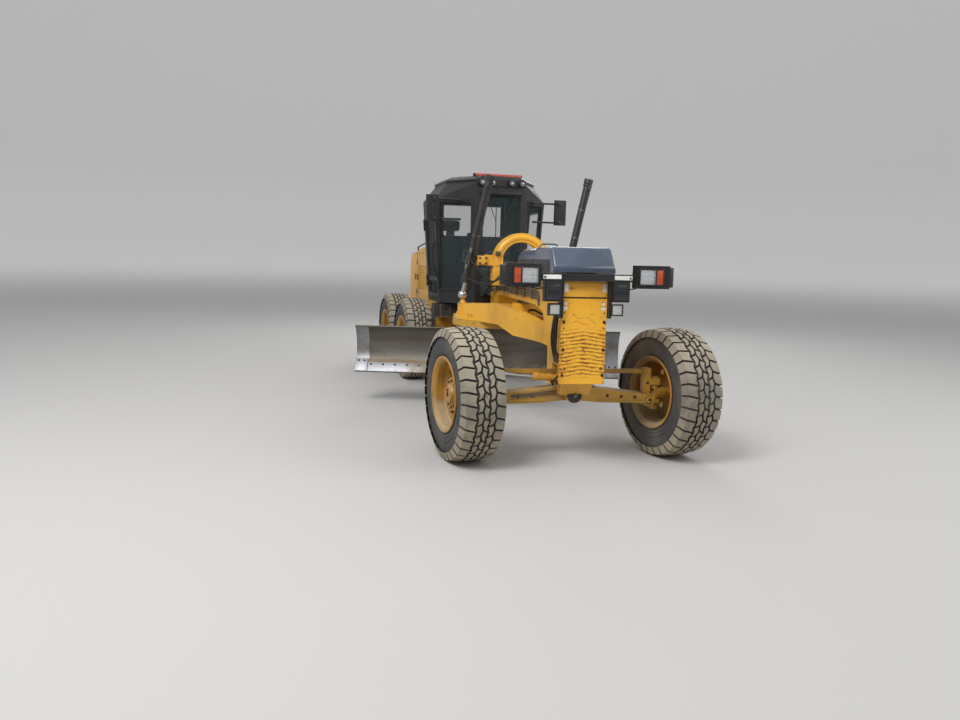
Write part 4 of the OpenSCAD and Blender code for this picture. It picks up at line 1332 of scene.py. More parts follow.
class Circle(Fittings):
    """Drive, guide shoes and blade fittings under the beam."""

    def build(self) -> None:
        """Makes the pieces of drawbar, circle, carrier and blade."""
        self.drawbar()
        self.ring()
        self.blade()

    def drawbar(self) -> None:
        """Gearbox flange, guide shoes and hoses of the drawbar."""
        bar, bolts, base = Form(), Form(), self.shop.pose.bar
        bar.lathe([(0.12, 0.03), (0.15, 0.026), (0.155, 0.02), (0.155, 0.0)], Matrix.Translation((0, 2.08, 1.292)), 40)
        for px, py in around(12, 0.137):
            bolts.bolt((px, 2.08 + py, 1.318), (0, 0, 1), 0.01, 0.01)
        for i in range(6):
            a = math.tau * (i + 0.5) / 6
            turn = Matrix.Translation((0, self.shop.pose.circle, 1.292)) @ Matrix.Rotation(a, 4, "Z")
            bar.box((0.66, -0.06, 0.0), (0.782, 0.06, 0.022), 0.004, turn)
            for px in (0.69, 0.75):
                for py in (-0.035, 0.035):
                    foot = turn @ Vector((px, py, 0.022))
                    bolts.bolt(foot, (0, 0, 1), 0.011, 0.011)
        for side in Side:
            x = side.value
            bar.lathe([(0.027, 0.03), (0.045, 0.026), (0.05, 0.0)], Matrix.Translation((0.68 * x, 2.6, 1.45)), 32)
            for px, py in ((0.60, 2.56), (0.60, 2.64), (0.725, 2.56), (0.725, 2.64)):
                bolts.bolt((px * x, py, 1.45), (0, 0, 1), 0.012, 0.012)
        self.shop.put(bar, "drawbar_shoes", "drawbar", "yellow", base)
        self.shop.put(bolts, "drawbar_bolts", "drawbar", "zinc", base)
        run = Plumbing(self.shop, "drawbar", "drawbar", base)
        for side in Side:
            x = side.value
            run.hose([(0.08 * x, 2.0, 1.4), (0.13 * x, 1.93, 1.41), (0.2 * x, 1.85, 1.37), (0.24 * x, 1.75, 1.34),
                      (0.22 * x, 1.5, 1.3)], 0.013)
            run.line([(0.2 * x, 1.45, 1.29), (0.165 * x, 1.2, 1.17), (0.15 * x, 0.95, 1.13)], 0.009)
        run.done()

    def ring(self) -> None:
        """Pin caps and bolts of the circle's arms, and grease fittings."""
        caps, bolts, base = Form(), Form(), self.shop.pose.ring
        for side in Side:
            x = side.value
            caps.rod((0.765 * x, 0.33, 0.66), (0.777 * x, 0.33, 0.66), 0.046, sides=32, soft=0.003)
            for py, pz in around(3, 0.028):
                bolts.bolt((0.777 * x, 0.33 + py, 0.66 + pz), (x, 0, 0), 0.008, 0.008)
            for y, z in ((0.42, 1.09), (0.56, 1.06), (0.72, 1.05), (0.86, 1.07)):
                bolts.bolt((0.735 * x, y, z), (x, 0, 0), 0.013, 0.013)
            for y, z in ((0.33, 0.97), (0.36, 0.82)):
                bolts.bolt((0.735 * x, y, z), (x, 0, 0), 0.011, 0.011)
        self.shop.put(caps, "tip_pin_caps", "blade_carrier", "olive", base)
        self.shop.put(bolts, "circle_bolts", "circle", "nuts", base)

    def blade(self) -> None:
        """Cutting edge plates, end bits, plough bolts and the moldboard's lips."""
        edge, bolts, lips, base = Form(), Form(), Form(), self.shop.pose.edge
        low, along = Vector((0.0, -0.0201, 0.4591)), Vector((0.0, 0.5748, 0.8183))
        out = Vector((0.0, -0.8183, 0.5748))
        place = Matrix.Translation(low) @ Matrix((Vector((1, 0, 0)), along, out)).transposed().to_4x4()
        for x0, x1, wide, thick in ((-1.829, -1.66, 0.2, 0.012), (-1.655, -0.557, 0.15, 0.005),
                                    (-0.552, 0.552, 0.15, 0.005), (0.557, 1.655, 0.15, 0.005),
                                    (1.66, 1.829, 0.2, 0.012)):
            edge.box((x0, 0.004, 0.0), (x1, wide, thick), 0.002, place)
            for i in range(max(2, round((x1 - x0) / 0.155))):
                px = x0 + 0.045 + (x1 - x0 - 0.09) * i / (max(2, round((x1 - x0) / 0.155)) - 1)
                foot = place @ Vector((px, wide - 0.035, thick))
                bolts.rod(foot, foot + out * 0.007, 0.017, 0.010, 20, 0.002)
        lips.tube([Vector((x, 0.03, 1.088)) for x in (-1.829, 0.0, 1.829)], 0.011, 12)
        for side in Side:
            self.wear(edge, 1.735 * side.value)
        for z in (0.655, 0.925):
            for i in range(8):
                px = -1.4 + 0.4 * i
                bolts.bolt((px, 0.142, z + 0.03), (0, 1, 0), 0.012, 0.012)
        self.shop.put(edge, "edge_plates", "blade", "edge", base)
        self.shop.put(bolts, "edge_bolts", "blade", "nuts", base)
        self.shop.put(lips, "moldboard_lips", "blade", "steel", base, 60.0)

    def wear(self, form: Form, middle: float) -> None:
        """Adds a curved wear plate over one end of the moldboard's face.

        Args:
            form: Where it goes.
            middle: Its X.
        """
        bm = bmesh.new()
        strip = bmesh.ops.create_circle(bm, segments=4, radius=1.0, matrix=Matrix.Translation((middle, 0, 0.4255))
                                        @ Matrix.Diagonal((0.13, 1.0, 0.005, 1.0))
                                        @ Matrix.Rotation(math.radians(90), 4, "X")
                                        @ Matrix.Rotation(math.radians(45), 4, "Z"))["verts"]
        bmesh.ops.spin(bm, geom=[*strip, *{e for v in strip for e in v.link_edges}], axis=(1, 0, 0),
                       angle=math.radians(-68), steps=14)
        form.join(bm, Matrix.Translation((0, -0.28, 0.79)) @ Matrix.Rotation(math.radians(-46), 4, "X"))


class Axle(Fittings):
    """Caps, boots, grease fittings and hoses of the leaning front axle."""

    def build(self) -> None:
        """Makes the axle's pieces."""
        beam, bolts = Form(), Form()
        for side in Side:
            x = side.value
            caps, small = Form(), Form()
            for y, out in ((-0.1, -1), (0.1, 1)):
                caps.rod((0.86 * x, y, 0.62), (0.86 * x, y + 0.01 * out, 0.62), 0.037, sides=28, soft=0.003)
                small.bolt((0.86 * x, y + 0.01 * out, 0.62), (0, out, 0), 0.012, 0.01)
                small.bolt((0.905 * x, 0.057 * out, 0.72), (0, out, 0), 0.01, 0.01)
                small.bolt((0.845 * x, 0.057 * out, 0.79), (0, out, 0), 0.01, 0.01)
            caps.rod((0.94 * x, 0, 0.84), (0.94 * x, 0, 0.852), 0.05, sides=32, soft=0.003)
            small.rod((0.94 * x, 0, 0.852), (0.94 * x, 0, 0.87), 0.006, sides=8, soft=0.001)
            self.shop.put(caps, "lean_caps_" + side.tag, "lean_carrier_" + side.tag, "olive", self.base)
            self.shop.put(small, "lean_bolts_" + side.tag, "lean_carrier_" + side.tag, "nuts", self.base)
            for px, z in ((0.4, 0.665), (0.55, 0.655), (0.7, 0.65)):
                bolts.bolt((px * x, -0.095, z), (0, -1, 0), 0.012, 0.012)
            beam.box((0.3 * x, -0.101, 0.61), (0.78 * x, -0.095, 0.63), 0.002)
            beam.lathe([(0.05, 0.0), (0.05, 0.008), (0.062, 0.008), (0.064, 0.0)],
                       facing((0.86 * x, -0.095, 0.62), (0, -1, 0)))
            pose = self.shop.pose
            arm = (pose.front @ Matrix.Translation((pose.kingpin * x, 0, 0))
                   @ Matrix.Rotation(math.radians(pose.steer), 4, "Z") @ Matrix.Translation((0, pose.arm, 0)))
            boot = Form()
            boot.lathe([(0.02, 0.612), (0.026, 0.61), (0.022, 0.604), (0.03, 0.6), (0.031, 0.596)], Matrix(), 28)
            self.shop.put(boot, "boot_" + side.tag, "tie_rod", "hose", arm, 60.0)
            hub = Form()
            for py, pz in around(6, 0.05):
                hub.bolt((1.045 * x, py, 0.685 + pz), (x, 0, 0), 0.009, 0.009)
            self.shop.put(hub, "knuckle_bolts_" + side.tag, "knuckle_" + side.tag, "nuts", pose.knuckle(side))
        self.shop.put(beam, "axle_plates", "front_axle", "olive", self.base)
        self.shop.put(bolts, "axle_bolts", "front_axle", "nuts", self.base)
        run = Plumbing(self.shop, "axle", "front_axle", self.base)
        for i in range(2):
            y = -0.105
            run.line([(0.25 + 0.02 * i, -0.08, 0.775 - 0.012 * i), (0.1, y, 0.74 - 0.03 * i),
                      (-0.2, y, 0.72 - 0.03 * i), (-0.45, y, 0.69 - 0.025 * i), (-0.62, y, 0.675 - 0.02 * i)], 0.007)
        run.done()
        for i in range(2):
            start, end = (-0.09 - 0.03 * i, -0.262, 1.02), (-0.14 - 0.05 * i, -0.09, 0.79)
            path = [start, (-0.11 - 0.04 * i, -0.3, 0.96), (-0.18 - 0.05 * i, -0.27, 0.85),
                    (-0.17 - 0.05 * i, -0.15, 0.83), end]
            Plumbing(self.shop, f"axle_loop_{i}", Span("front_frame", "front_axle", start, end), self.base).hose(
                path, 0.01).done()


class Cab(Fittings):
    """Wipers, seals, handles, mirrors, lamps, beacon and the inside of the cab."""

    BODY = "rear_frame"
    TILT = math.atan(0.11 / 1.6)

    def wall(self, side: Side) -> Matrix:
        """Frame on a door's outer face: X out, Y back, Z up along the wall, Z = 0 at the floor.

        Args:
            side: Side of the machine.

        Returns:
            The matrix.
        """
        return (self.base @ Matrix.Translation((0.81 * side.value, 0, 1.35))
                @ Matrix.Rotation(self.TILT * side.value, 4, "Y"))

    def corner(self, side: Side) -> Matrix:
        """Frame on a slanted corner pane: X along the wall, Y into the cab, its middle at X = 0.

        Args:
            side: Side of the machine.

        Returns:
            The matrix.
        """
        s = side.value
        return (self.base @ Matrix.Translation((0.643 * s, 4.29, 0))
                @ Matrix.Rotation(s * math.atan2(0.54, 0.488), 4, "Z"))

    def frame(self, form: Form, low: tuple[float, float], high: tuple[float, float], off: float, wide: float) -> None:
        """Adds a rounded seal round a pane in the X-Z plane of the form.

        Args:
            form: Where it goes.
            low: Lowest X and Z.
            high: Highest X and Z.
            off: Its Y.
            wide: Its radius.
        """
        r = 0.03
        path = []
        for cx, cz, start in ((high[0] - r, high[1] - r, 0), (low[0] + r, high[1] - r, 90),
                              (low[0] + r, low[1] + r, 180), (high[0] - r, low[1] + r, 270)):
            for turn in (math.radians(start + a) for a in (0, 30, 60, 90)):
                path.append(Vector((cx + r * math.cos(turn), off, cz + r * math.sin(turn))))
        form.tube([*path, path[0]], wide, 8)

    def build(self) -> None:
        """Makes the cab's pieces."""
        seals, trim, metal = Form(), Form(), Form()
        self.frame(seals, (-0.318, 1.484), (0.318, 3.006), 4.018, 0.009)
        self.frame(seals, (-0.516, 2.424), (0.516, 2.946), 5.562, 0.009)
        for x0, z0, x1, z1 in ((-0.26, 3.03, -0.08, 2.62), (0.24, 3.03, 0.06, 2.66)):
            middle = Vector(((x0 + x1) / 2, 3.992, (z0 + z1) / 2))
            trim.rod((x0, 4.002, z0), (x0, 4.02, z0), 0.022, sides=20, soft=0.003)
            trim.tube([Vector((x0, 3.998, z0)), middle, Vector((x1, 3.999, z1))], 0.006, 8)
            trim.box((x1 - 0.006, 3.998, z1 - 0.25), (x1 + 0.006, 4.012, z1 + 0.22), 0.003)
        trim.box((-0.33, 3.99, 3.02), (0.33, 4.02, 3.06), 0.008)
        for z in (1.42, 3.1):
            for i in range(5):
                metal.bolt((-0.28 + 0.14 * i, 4.02, z), (0, -1, 0), 0.008, 0.006)
        for i in range(4):
            trim.box((-0.52 + 0.28 * i, 4.5, 3.3), (-0.32 + 0.28 * i, 5.3, 3.312), 0.006)
        trim.box((-0.3, 4.75, 3.31), (0.3, 5.2, 3.335), 0.012)
        for i in range(8):
            trim.box((-0.3 + 0.08 * i, 5.558, 3.0), (-0.26 + 0.08 * i, 5.575, 3.13), 0.003)
        metal.tube([Vector((-0.62, 5.5, 2.7)), Vector((-0.66, 5.56, 2.9)), Vector((-0.67, 5.58, 3.33))], 0.003, 6)
        self.shop.put(seals, "cab_seals", "rear_frame", "hose", self.base, 60.0)
        self.put((trim, "cab_trim", "black"), (metal, "cab_bolts", "zinc"))
        self.roof_lamps()
        self.inside()
        for side in Side:
            self.door(side)
            self.mirror(side)
            seal = Form()
            self.frame(seal, (-0.285, 1.566), (0.285, 2.894), 0.0, 0.009)
            self.shop.put(seal, "corner_seal_" + side.tag, "rear_frame", "hose", self.corner(side), 60.0)

    def door(self, side: Side) -> None:
        """Seals, handle and lock of one door.

        Args:
            side: Its side.
        """
        x, place = side.value, self.wall(side)
        seal, metal, quarter = Form(), Form(), Matrix.Rotation(math.radians(90), 4, "Z")
        for low, high in (((4.686, 0.405), (5.194, 1.463)), ((4.686, 0.136), (5.194, 0.336))):
            self.frame(seal, low, high, 0.001 * -x, 0.008)
        self.shop.put(seal, "door_seal_" + side.tag, "door_" + side.tag, "hose", place @ quarter, 60.0)
        metal.tube(curve([(0.0, 4.64, 0.50), (0.045 * x, 4.64, 0.505), (0.05 * x, 4.64, 0.56), (0.05 * x, 4.64, 0.86),
                          (0.045 * x, 4.64, 0.915), (0.0, 4.64, 0.92)], 4), 0.011)
        metal.box((0.0, 4.652, 0.40), (0.018 * x, 4.684, 0.47), 0.004)
        metal.rod((0.018 * x, 4.668, 0.435), (0.028 * x, 4.668, 0.435), 0.012, sides=20, soft=0.002)
        self.shop.put(metal, "door_handle_" + side.tag, "door_" + side.tag, "black", place)

    def mirror(self, side: Side) -> None:
        """Glass, rim and clamps of one mirror.

        Args:
            side: Its side.
        """
        x = side.value
        glass, shell = Form(), Form()
        glass.box((0.962 * x, 4.21, 2.72), (1.118 * x, 4.2135, 2.978), 0.001)
        glass.box((0.962 * x, 4.21, 2.612), (1.118 * x, 4.2135, 2.7), 0.001)
        self.frame(shell, (min(0.957 * x, 1.123 * x), 2.607), (max(0.957 * x, 1.123 * x), 2.983), 4.209, 0.006)
        for z in (2.64, 2.93):
            shell.rod((1.01 * x, 4.12, z), (1.01 * x, 4.15, z), 0.022, sides=20, soft=0.003)
            shell.box((0.985 * x, 4.128, z - 0.035), (1.035 * x, 4.15, z + 0.035), 0.004)
        for i in range(5):
            px = 0.975 + 0.032 * i
            shell.box((px * x, 4.144, 2.66), ((px + 0.01) * x, 4.152, 2.9), 0.002)
        self.put((glass, "mirror_glass_" + side.tag, "mirror"), (shell, "mirror_shell_" + side.tag, "plastic"))

    def roof_lamps(self) -> None:
        """Lenses and rims of the roof's work lamps, and the amber beacon."""
        lens, rims, amber, bulbs = Form(), Form(), Form(), Form()
        for px in (-0.32, -0.15, 0.15, 0.32):
            at = facing((px, 3.955, 3.192), (0, -1, 0))
            lens.lathe([(0.0, 0.008), (0.02, 0.0075), (0.034, 0.004), (0.0405, 0.0)], at, 32)
            rims.lathe([(0.0405, -0.004), (0.0405, 0.012), (0.047, 0.013), (0.0495, 0.009), (0.0495, -0.02)], at, 36)
            bulbs.rod((px, 3.9475, 3.192), (px, 3.945, 3.192), 0.014, sides=20, soft=0.001)
            rims.box((px - 0.012, 3.93, 3.24), (px + 0.012, 3.99, 3.25), 0.002)
        for i in range(6):
            x0 = -0.372 + 0.1245 * i
            amber.box((x0, 4.166, 3.306), (x0 + 0.1195, 4.171, 3.34), 0.002)
            amber.box((x0, 4.166, 3.3385), (x0 + 0.1195, 4.264, 3.342), 0.0015)
        for px in (-0.38, 0.374):
            rims.box((px, 4.164, 3.3), (px + 0.006, 4.266, 3.342), 0.002)
        rims.box((-0.38, 4.16, 3.296), (0.38, 4.27, 3.306), 0.003)
        self.put((lens, "roof_lenses", "lens"), (amber, "beacon_lenses", "amber"), (rims, "roof_lamp_rims", "plastic"),
                 (bulbs, "roof_bulbs", "chrome"))

    def inside(self) -> None:
        """Dashboard, levers and wheel grip."""
        trim, knobs, metal = Form(), Form(), Form()
        trim.box((-0.28, 4.12, 1.93), (0.28, 4.24, 2.02), 0.02)
        trim.box((0.33, 4.2, 2.16), (0.5, 4.225, 2.32), 0.008, about((0.4, 4.2, 2.2), "Z", 25))
        metal.rod((0.4, 4.23, 2.0), (0.4, 4.215, 2.17), 0.008)
        trim.lathe([(0.11, 1.39), (0.105, 1.47), (0.085, 1.5), (0.08, 1.56), (0.075, 1.6)],
                   Matrix.Translation((0, 4.3, 0)), 28)
        for side in Side:
            x = side.value
            for i in range(4):
                y = 4.84 + 0.05 * i
                stem = curve([(0.335 * x, y, 2.0), (0.333 * x, y - 0.015, 2.07), (0.33 * x, y - 0.025, 2.14)], 4)
                metal.tube(stem, 0.006, 8)
                knobs.lathe([(0.0, 0.04), (0.012, 0.036), (0.018, 0.022), (0.016, 0.006), (0.008, 0.0)],
                            facing((0.33 * x, y - 0.025, 2.135), (0, -0.15, 1)), 20)
            trim.box((0.285 * x, 5.05, 1.985), (0.385 * x, 5.29, 2.03), 0.015)
        self.put((trim, "cab_inside", "plastic"), (knobs, "lever_knobs", "hose"), (metal, "lever_stems", "zinc"))


@dataclass(frozen=True)
class Pad:
    """A stuffed pad of the seat, in metres.

    Attributes:
        name: Name of the piece.
        low: Lowest corner before it is filled.
        high: Highest corner.
        lean: Lean about its foot, in degrees.
        soft: Bevel of its edges.
    """

    name: str
    low: Point
    high: Point
    lean: float
    soft: float


class Seat(Fittings):
    """The operator's seat: pads filled by a cloth simulation, on a folded suspension."""

    BODY = "rear_frame"
    FRAMES = 14
    PRESSURE = 3.0

    def build(self) -> None:
        """Makes the seat."""
        base, metal = Form(), Form()
        base.box((-0.2, 4.92, 1.76), (0.2, 5.36, 1.79), 0.01)
        for i in range(7):
            z, w = 1.46 + 0.043 * i, 0.165 - 0.012 * (i % 2)
            base.box((-w, 5.14 - w, z), (w, 5.14 + w, z + 0.043), 0.012)
        base.box((-0.18, 4.96, 1.39), (0.18, 5.33, 1.46), 0.01)
        base.box((-0.1, 5.4, 1.84), (0.1, 5.44, 2.4), 0.012, about((0, 5.4, 1.84), "X", -8))
        for side in Side:
            x = side.value
            base.box((0.245 * x, 5.02, 2.06), (0.275 * x, 5.36, 2.1), 0.014)
            metal.tube(curve([(0.2 * x, 5.36, 1.86), (0.252 * x, 5.4, 1.92), (0.258 * x, 5.38, 2.06)], 5), 0.012)
            metal.box((0.24 * x, 5.28, 1.8), (0.262 * x, 5.32, 1.9), 0.004)
        self.shop.put(base, "seat_base", "rear_frame", "plastic", self.base, stands=("operator_seat",))
        self.put((metal, "seat_metal", "zinc"))
        for pad in (Pad("seat_cushion", (-0.225, 4.91, 1.8), (0.225, 5.37, 1.88), 0.0, 0.03),
                    Pad("seat_back", (-0.215, 5.335, 1.92), (0.215, 5.415, 2.42), -8.0, 0.035),
                    Pad("head_rest", (-0.12, 5.345, 2.43), (0.12, 5.41, 2.495), -8.0, 0.025)):
            self.stuff(pad)

    def stuff(self, pad: Pad) -> None:
        """Fills one pad with a short cloth simulation.

        Args:
            pad: Its sizes.
        """
        form = Form().box(pad.low, pad.high, pad.soft)
        turn = about((0.0, pad.low[1], 1.84), "X", pad.lean)
        bmesh.ops.transform(form.bm, matrix=turn, verts=form.bm.verts)
        obj = self.shop.put(form, pad.name, "rear_frame", "cloth", self.base, 60.0)
        remesh = obj.modifiers.new("remesh", "REMESH")
        remesh.mode, remesh.voxel_size = "VOXEL", 0.006
        cloth = obj.modifiers.new("cloth", "CLOTH")
        cloth.settings.use_pressure = True
        cloth.settings.uniform_pressure_force = self.PRESSURE
        cloth.settings.effector_weights.gravity = 0.0
        cloth.settings.quality = 6
        cloth.point_cache.frame_start, cloth.point_cache.frame_end = 1, self.FRAMES
        settle(obj, self.FRAMES)
        obj.data.shade_smooth()


def settle(obj: bpy.types.Object, frames: int) -> None:
    """Plays an object's modifiers and keeps the mesh that they give.

    Args:
        obj: The object.
        frames: Frames to play.
    """
    scene = bpy.context.scene
    for frame in range(1, frames + 1):
        scene.frame_set(frame)
    graph = bpy.context.evaluated_depsgraph_get()
    mesh = bpy.data.meshes.new_from_object(obj.evaluated_get(graph))
    obj.modifiers.clear()
    obj.data = mesh
    scene.frame_set(1)


class Rear(Fittings):
    """Hood, engine, ladder, tandem and tail fittings of the rear frame."""

    BODY = "rear_frame"
    FRONT = 5.62
    SLOPE = 0.088

    def build(self) -> None:
        """Makes the rear frame's pieces."""
        self.hood()
        self.stacks()
        self.tail()
        self.tandem()
        self.steps()

    def hood(self) -> None:
        """Door seams, hinges, latches, mesh, fins and hand rails of the engine hood."""
        trim, metal, mesh, rails = Form(), Form(), Form(), Form()
        for side in Side:
            x = side.value
            for y in (6.25, 7.32):
                trim.box((0.575 * x, y, 1.2), (0.5765 * x, y + 0.007, 2.14), 0.0)
            for z in (1.2, 2.13):
                trim.box((0.575 * x, 5.66, z), (0.5765 * x, 7.9, z + 0.007), 0.0)
            for y in (6.25, 7.32):
                for z in (1.4, 1.95):
                    metal.rod((0.579 * x, y + 0.003, z - 0.04), (0.579 * x, y + 0.003, z + 0.04), 0.009, sides=14,
                              soft=0.002)
                    metal.box((0.575 * x, y - 0.035, z - 0.03), (0.58 * x, y + 0.04, z + 0.03), 0.002)
            for y in (5.75, 7.22, 7.42):
                trim.box((0.575 * x, y, 1.62), (0.583 * x, y + 0.06, 1.74), 0.006)
                metal.box((0.583 * x, y + 0.02, 1.64), (0.592 * x, y + 0.04, 1.72), 0.004)
            mesh.box((0.535 * x, 6.32, 1.42), (0.541 * x, 7.3, 1.93), 0.0)
            for i in range(7):
                y = 6.35 + 0.13 * i
                for j in range(9):
                    z = 1.47 + 0.05 * j
                    mesh.box((0.545 * x, y, z), (0.572 * x, y + 0.07, z + 0.006), 0.0,
                             about((0.56 * x, y, z), "Y", 22 * x))
            for y0, y1 in ((5.72, 6.55), (6.75, 7.6)):
                rails.tube(curve([(0.5 * x, end + step, height - (end - self.FRONT) * self.SLOPE)
                                  for end, step, height in ((y0, 0.0, 2.3), (y0, 0.01, 2.41), (y0, 0.06, 2.43),
                                                            (y1, -0.06, 2.43), (y1, -0.01, 2.41), (y1, 0.0, 2.3))]),
                           0.014, 12)
            for i in range(14):
                z = 2.326 - (0.08 + 0.1 * i) * self.SLOPE
                metal.bolt((0.56 * x, 5.7 + 0.1 * i, z), (0, 0.09, 1), 0.008, 0.007)
        mesh.box((-0.44, 7.87, 1.3), (0.44, 7.9, 1.9), 0.0)
        for i in range(40):
            mesh.box((-0.43 + 0.0218 * i, 7.9, 1.31), (-0.426 + 0.0218 * i, 7.912, 1.89), 0.0)
        trim.lathe([(0.0, 0.03), (0.045, 0.03), (0.052, 0.022), (0.052, 0.0)], Matrix.Translation((0.3, 7.3, 2.18)), 32)
        self.put((trim, "hood_trim", "plastic"), (metal, "hood_hinges", "zinc"), (mesh, "hood_grilles", "iron"))
        self.shop.put(rails, "hood_rails", "rear_frame", "black", self.base, 60.0)

    def stacks(self) -> None:
        """Rain flap and heat shield of the exhaust, and the ribbed pre-cleaner."""
        stack, cleaner = Form(), Form()
        pipe, filter_base = Matrix.Translation((0.26, 6.0, 0)), Matrix.Translation((-0.26, 6.05, 0))
        stack.lathe([(0.066, 2.62), (0.076, 2.63), (0.082, 2.7), (0.082, 2.9), (0.076, 2.93), (0.066, 2.935)], pipe, 40)
        for i in range(8):
            for j in range(4):
                a = math.tau * (i + 0.5 * (j % 2)) / 8
                c, s = math.cos(a), math.sin(a)
                stack.rod((0.26 + 0.082 * c, 6.0 + 0.082 * s, 2.72 + 0.05 * j),
                          (0.26 + 0.085 * c, 6.0 + 0.085 * s, 2.72 + 0.05 * j), 0.012, 0.009, 12)
        stack.rod((0.26, 6.0, 2.951), (0.26, 6.0, 2.958), 0.07, sides=36, soft=0.002)
        stack.rod((0.225, 6.07, 2.955), (0.295, 6.07, 2.955), 0.008, sides=12)
        stack.lathe([(0.066, 2.4), (0.09, 2.4), (0.09, 2.33), (0.1, 2.32)], pipe, 36)
        cleaner.lathe([(0.0, 2.722), (0.08, 2.72), (0.13, 2.7), (0.152, 2.69), (0.153, 2.55), (0.14, 2.528),
                       (0.08, 2.52)], filter_base, 48)
        for i in range(24):
            turn = filter_base @ Matrix.Rotation(math.tau * i / 24, 4, "Z")
            cleaner.box((0.148, -0.006, 2.56), (0.164, 0.006, 2.685), 0.003, turn)
        cleaner.lathe([(0.0, 2.74), (0.02, 2.74), (0.024, 2.73), (0.024, 2.718)], filter_base, 20)
        self.put((stack, "exhaust_trim", "iron"), (cleaner, "air_cleaner", "plastic"))

    def tail(self) -> None:
        """Tail lamps, reflectors, tow pin and bolts of the tail plate."""
        red, amber, frame, bolts = Form(), Form(), Form(), Form()
        for side in Side:
            x = side.value
            frame.box((0.4 * x, 8.05, 1.1), (0.58 * x, 8.075, 1.2), 0.006)
            red.box((0.41 * x, 8.075, 1.11), (0.5 * x, 8.085, 1.19), 0.006)
            amber.box((0.508 * x, 8.075, 1.11), (0.57 * x, 8.085, 1.19), 0.005)
            red.rod((0.5 * x, 8.05, 0.8), (0.5 * x, 8.058, 0.8), 0.04, sides=36, soft=0.003)
            for z in (0.9, 1.0, 1.27):
                bolts.bolt((0.46 * x, 8.05, z), (0, 1, 0), 0.016, 0.016)
            frame.rod((0.36 * x, 7.962, 2.0), (0.36 * x, 7.975, 2.0), 0.03, sides=30, soft=0.004)
        frame.rod((0.0, 8.11, 0.76), (0.0, 8.11, 0.97), 0.02, sides=28, soft=0.003)
        frame.tube(curve([(0.0, 8.11, 0.97), (0.03, 8.11, 1.0), (0.0, 8.11, 1.03), (-0.03, 8.11, 1.0),
                          (0.0, 8.11, 0.972)]), 0.006)
        self.put((red, "tail_lenses", "red"), (amber, "tail_turn_lenses", "amber"), (frame, "tail_frames", "plastic"),
                 (bolts, "tail_bolts", "nuts"))

    def tandem(self) -> None:
        """Cover plates, bolts and drain plugs of the tandem cases."""
        plate, bolts = Form(), Form()
        for side in Side:
            x = side.value
            at = facing((0.77 * x, 6.28, 0.685), (x, 0, 0))
            plate.lathe([(0.0, 0.03), (0.12, 0.03), (0.13, 0.012), (0.2, 0.01), (0.205, 0.0)], at, 48)
            for px, py in around(12, 0.175):
                bolts.bolt(at @ Vector((px, py, 0.01)), (x, 0, 0), 0.013, 0.013)
            for y in (5.85, 6.7):
                for z in (0.52, 0.85):
                    bolts.bolt((0.77 * x, y, z), (x, 0, 0), 0.012, 0.012)
            plate.box((0.77 * x, 5.74, 0.56), (0.776 * x, 5.98, 0.81), 0.006)
            plate.box((0.77 * x, 6.58, 0.56), (0.776 * x, 6.82, 0.81), 0.006)
        self.put((plate, "tandem_covers", "olive"), (bolts, "tandem_bolts", "nuts"))

    def steps(self) -> None:
        """Grip of the ladder's treads, tank caps and straps, and the turning cylinders' fittings."""
        grip, metal = Form(), Form()
        for side in Side:
            x = side.value
            for z in (0.51, 0.79, 1.07):
                for px in ((0.893 + 0.0135 * i) * x for i in range(7)):
                    for y in (4.612, 4.681, 4.758):
                        grip.rod((px, y, z), (px, y, z + 0.006), 0.004, 0.003, 8)
                for y in (4.63, 4.75):
                    metal.bolt((0.86 * x, y, z - 0.015), (-x, 0, 0), 0.008, 0.007)
            metal.box((0.63 * x, 4.516, 1.14), (0.66 * x, 4.52, 1.325), 0.001)
            metal.box((0.78 * x, 4.516, 1.14), (0.81 * x, 4.52, 1.325), 0.001)
            grip.lathe([(0.0, 0.02), (0.03, 0.02), (0.035, 0.012), (0.035, 0.0)],
                       facing((0.72 * x, 4.52, 1.28), (0, -1, 0)), 28)
            barrel, plumb = "turn_barrel_" + side.tag, Form()
            p = self.base @ Vector((0.43 * x, 4.39, 1.3))
            q = self.shop.pose.front @ Vector((0.22 * x, 3.5, 1.3))
            local = facing(p, q - p)
            for z in (0.07, 0.5):
                plumb.box((-0.02, 0.036, z - 0.02), (0.02, 0.062, z + 0.02), 0.004)
            plumb.tube(curve([(0.0, 0.055, 0.07), (0.0, 0.066, 0.12), (0.0, 0.066, 0.45), (0.0, 0.055, 0.5)]), 0.007)
            plumb.lathe([(0.023, 0.556), (0.04, 0.556), (0.046, 0.562), (0.03, 0.57), (0.0235, 0.57)], Matrix(), 28)
            self.shop.put(plumb, "turn_line_" + side.tag, barrel, "zinc", local)
        self.put((grip, "ladder_grip", "plastic"), (metal, "ladder_bolts", "zinc"))


@dataclass(frozen=True)
class Light:
    """A soft area light.

    Attributes:
        name: Its name.
        where: Its place in metres.
        size: Width of its square.
        watts: Its power.
    """

    name: str
    where: Point
    size: float
    watts: float


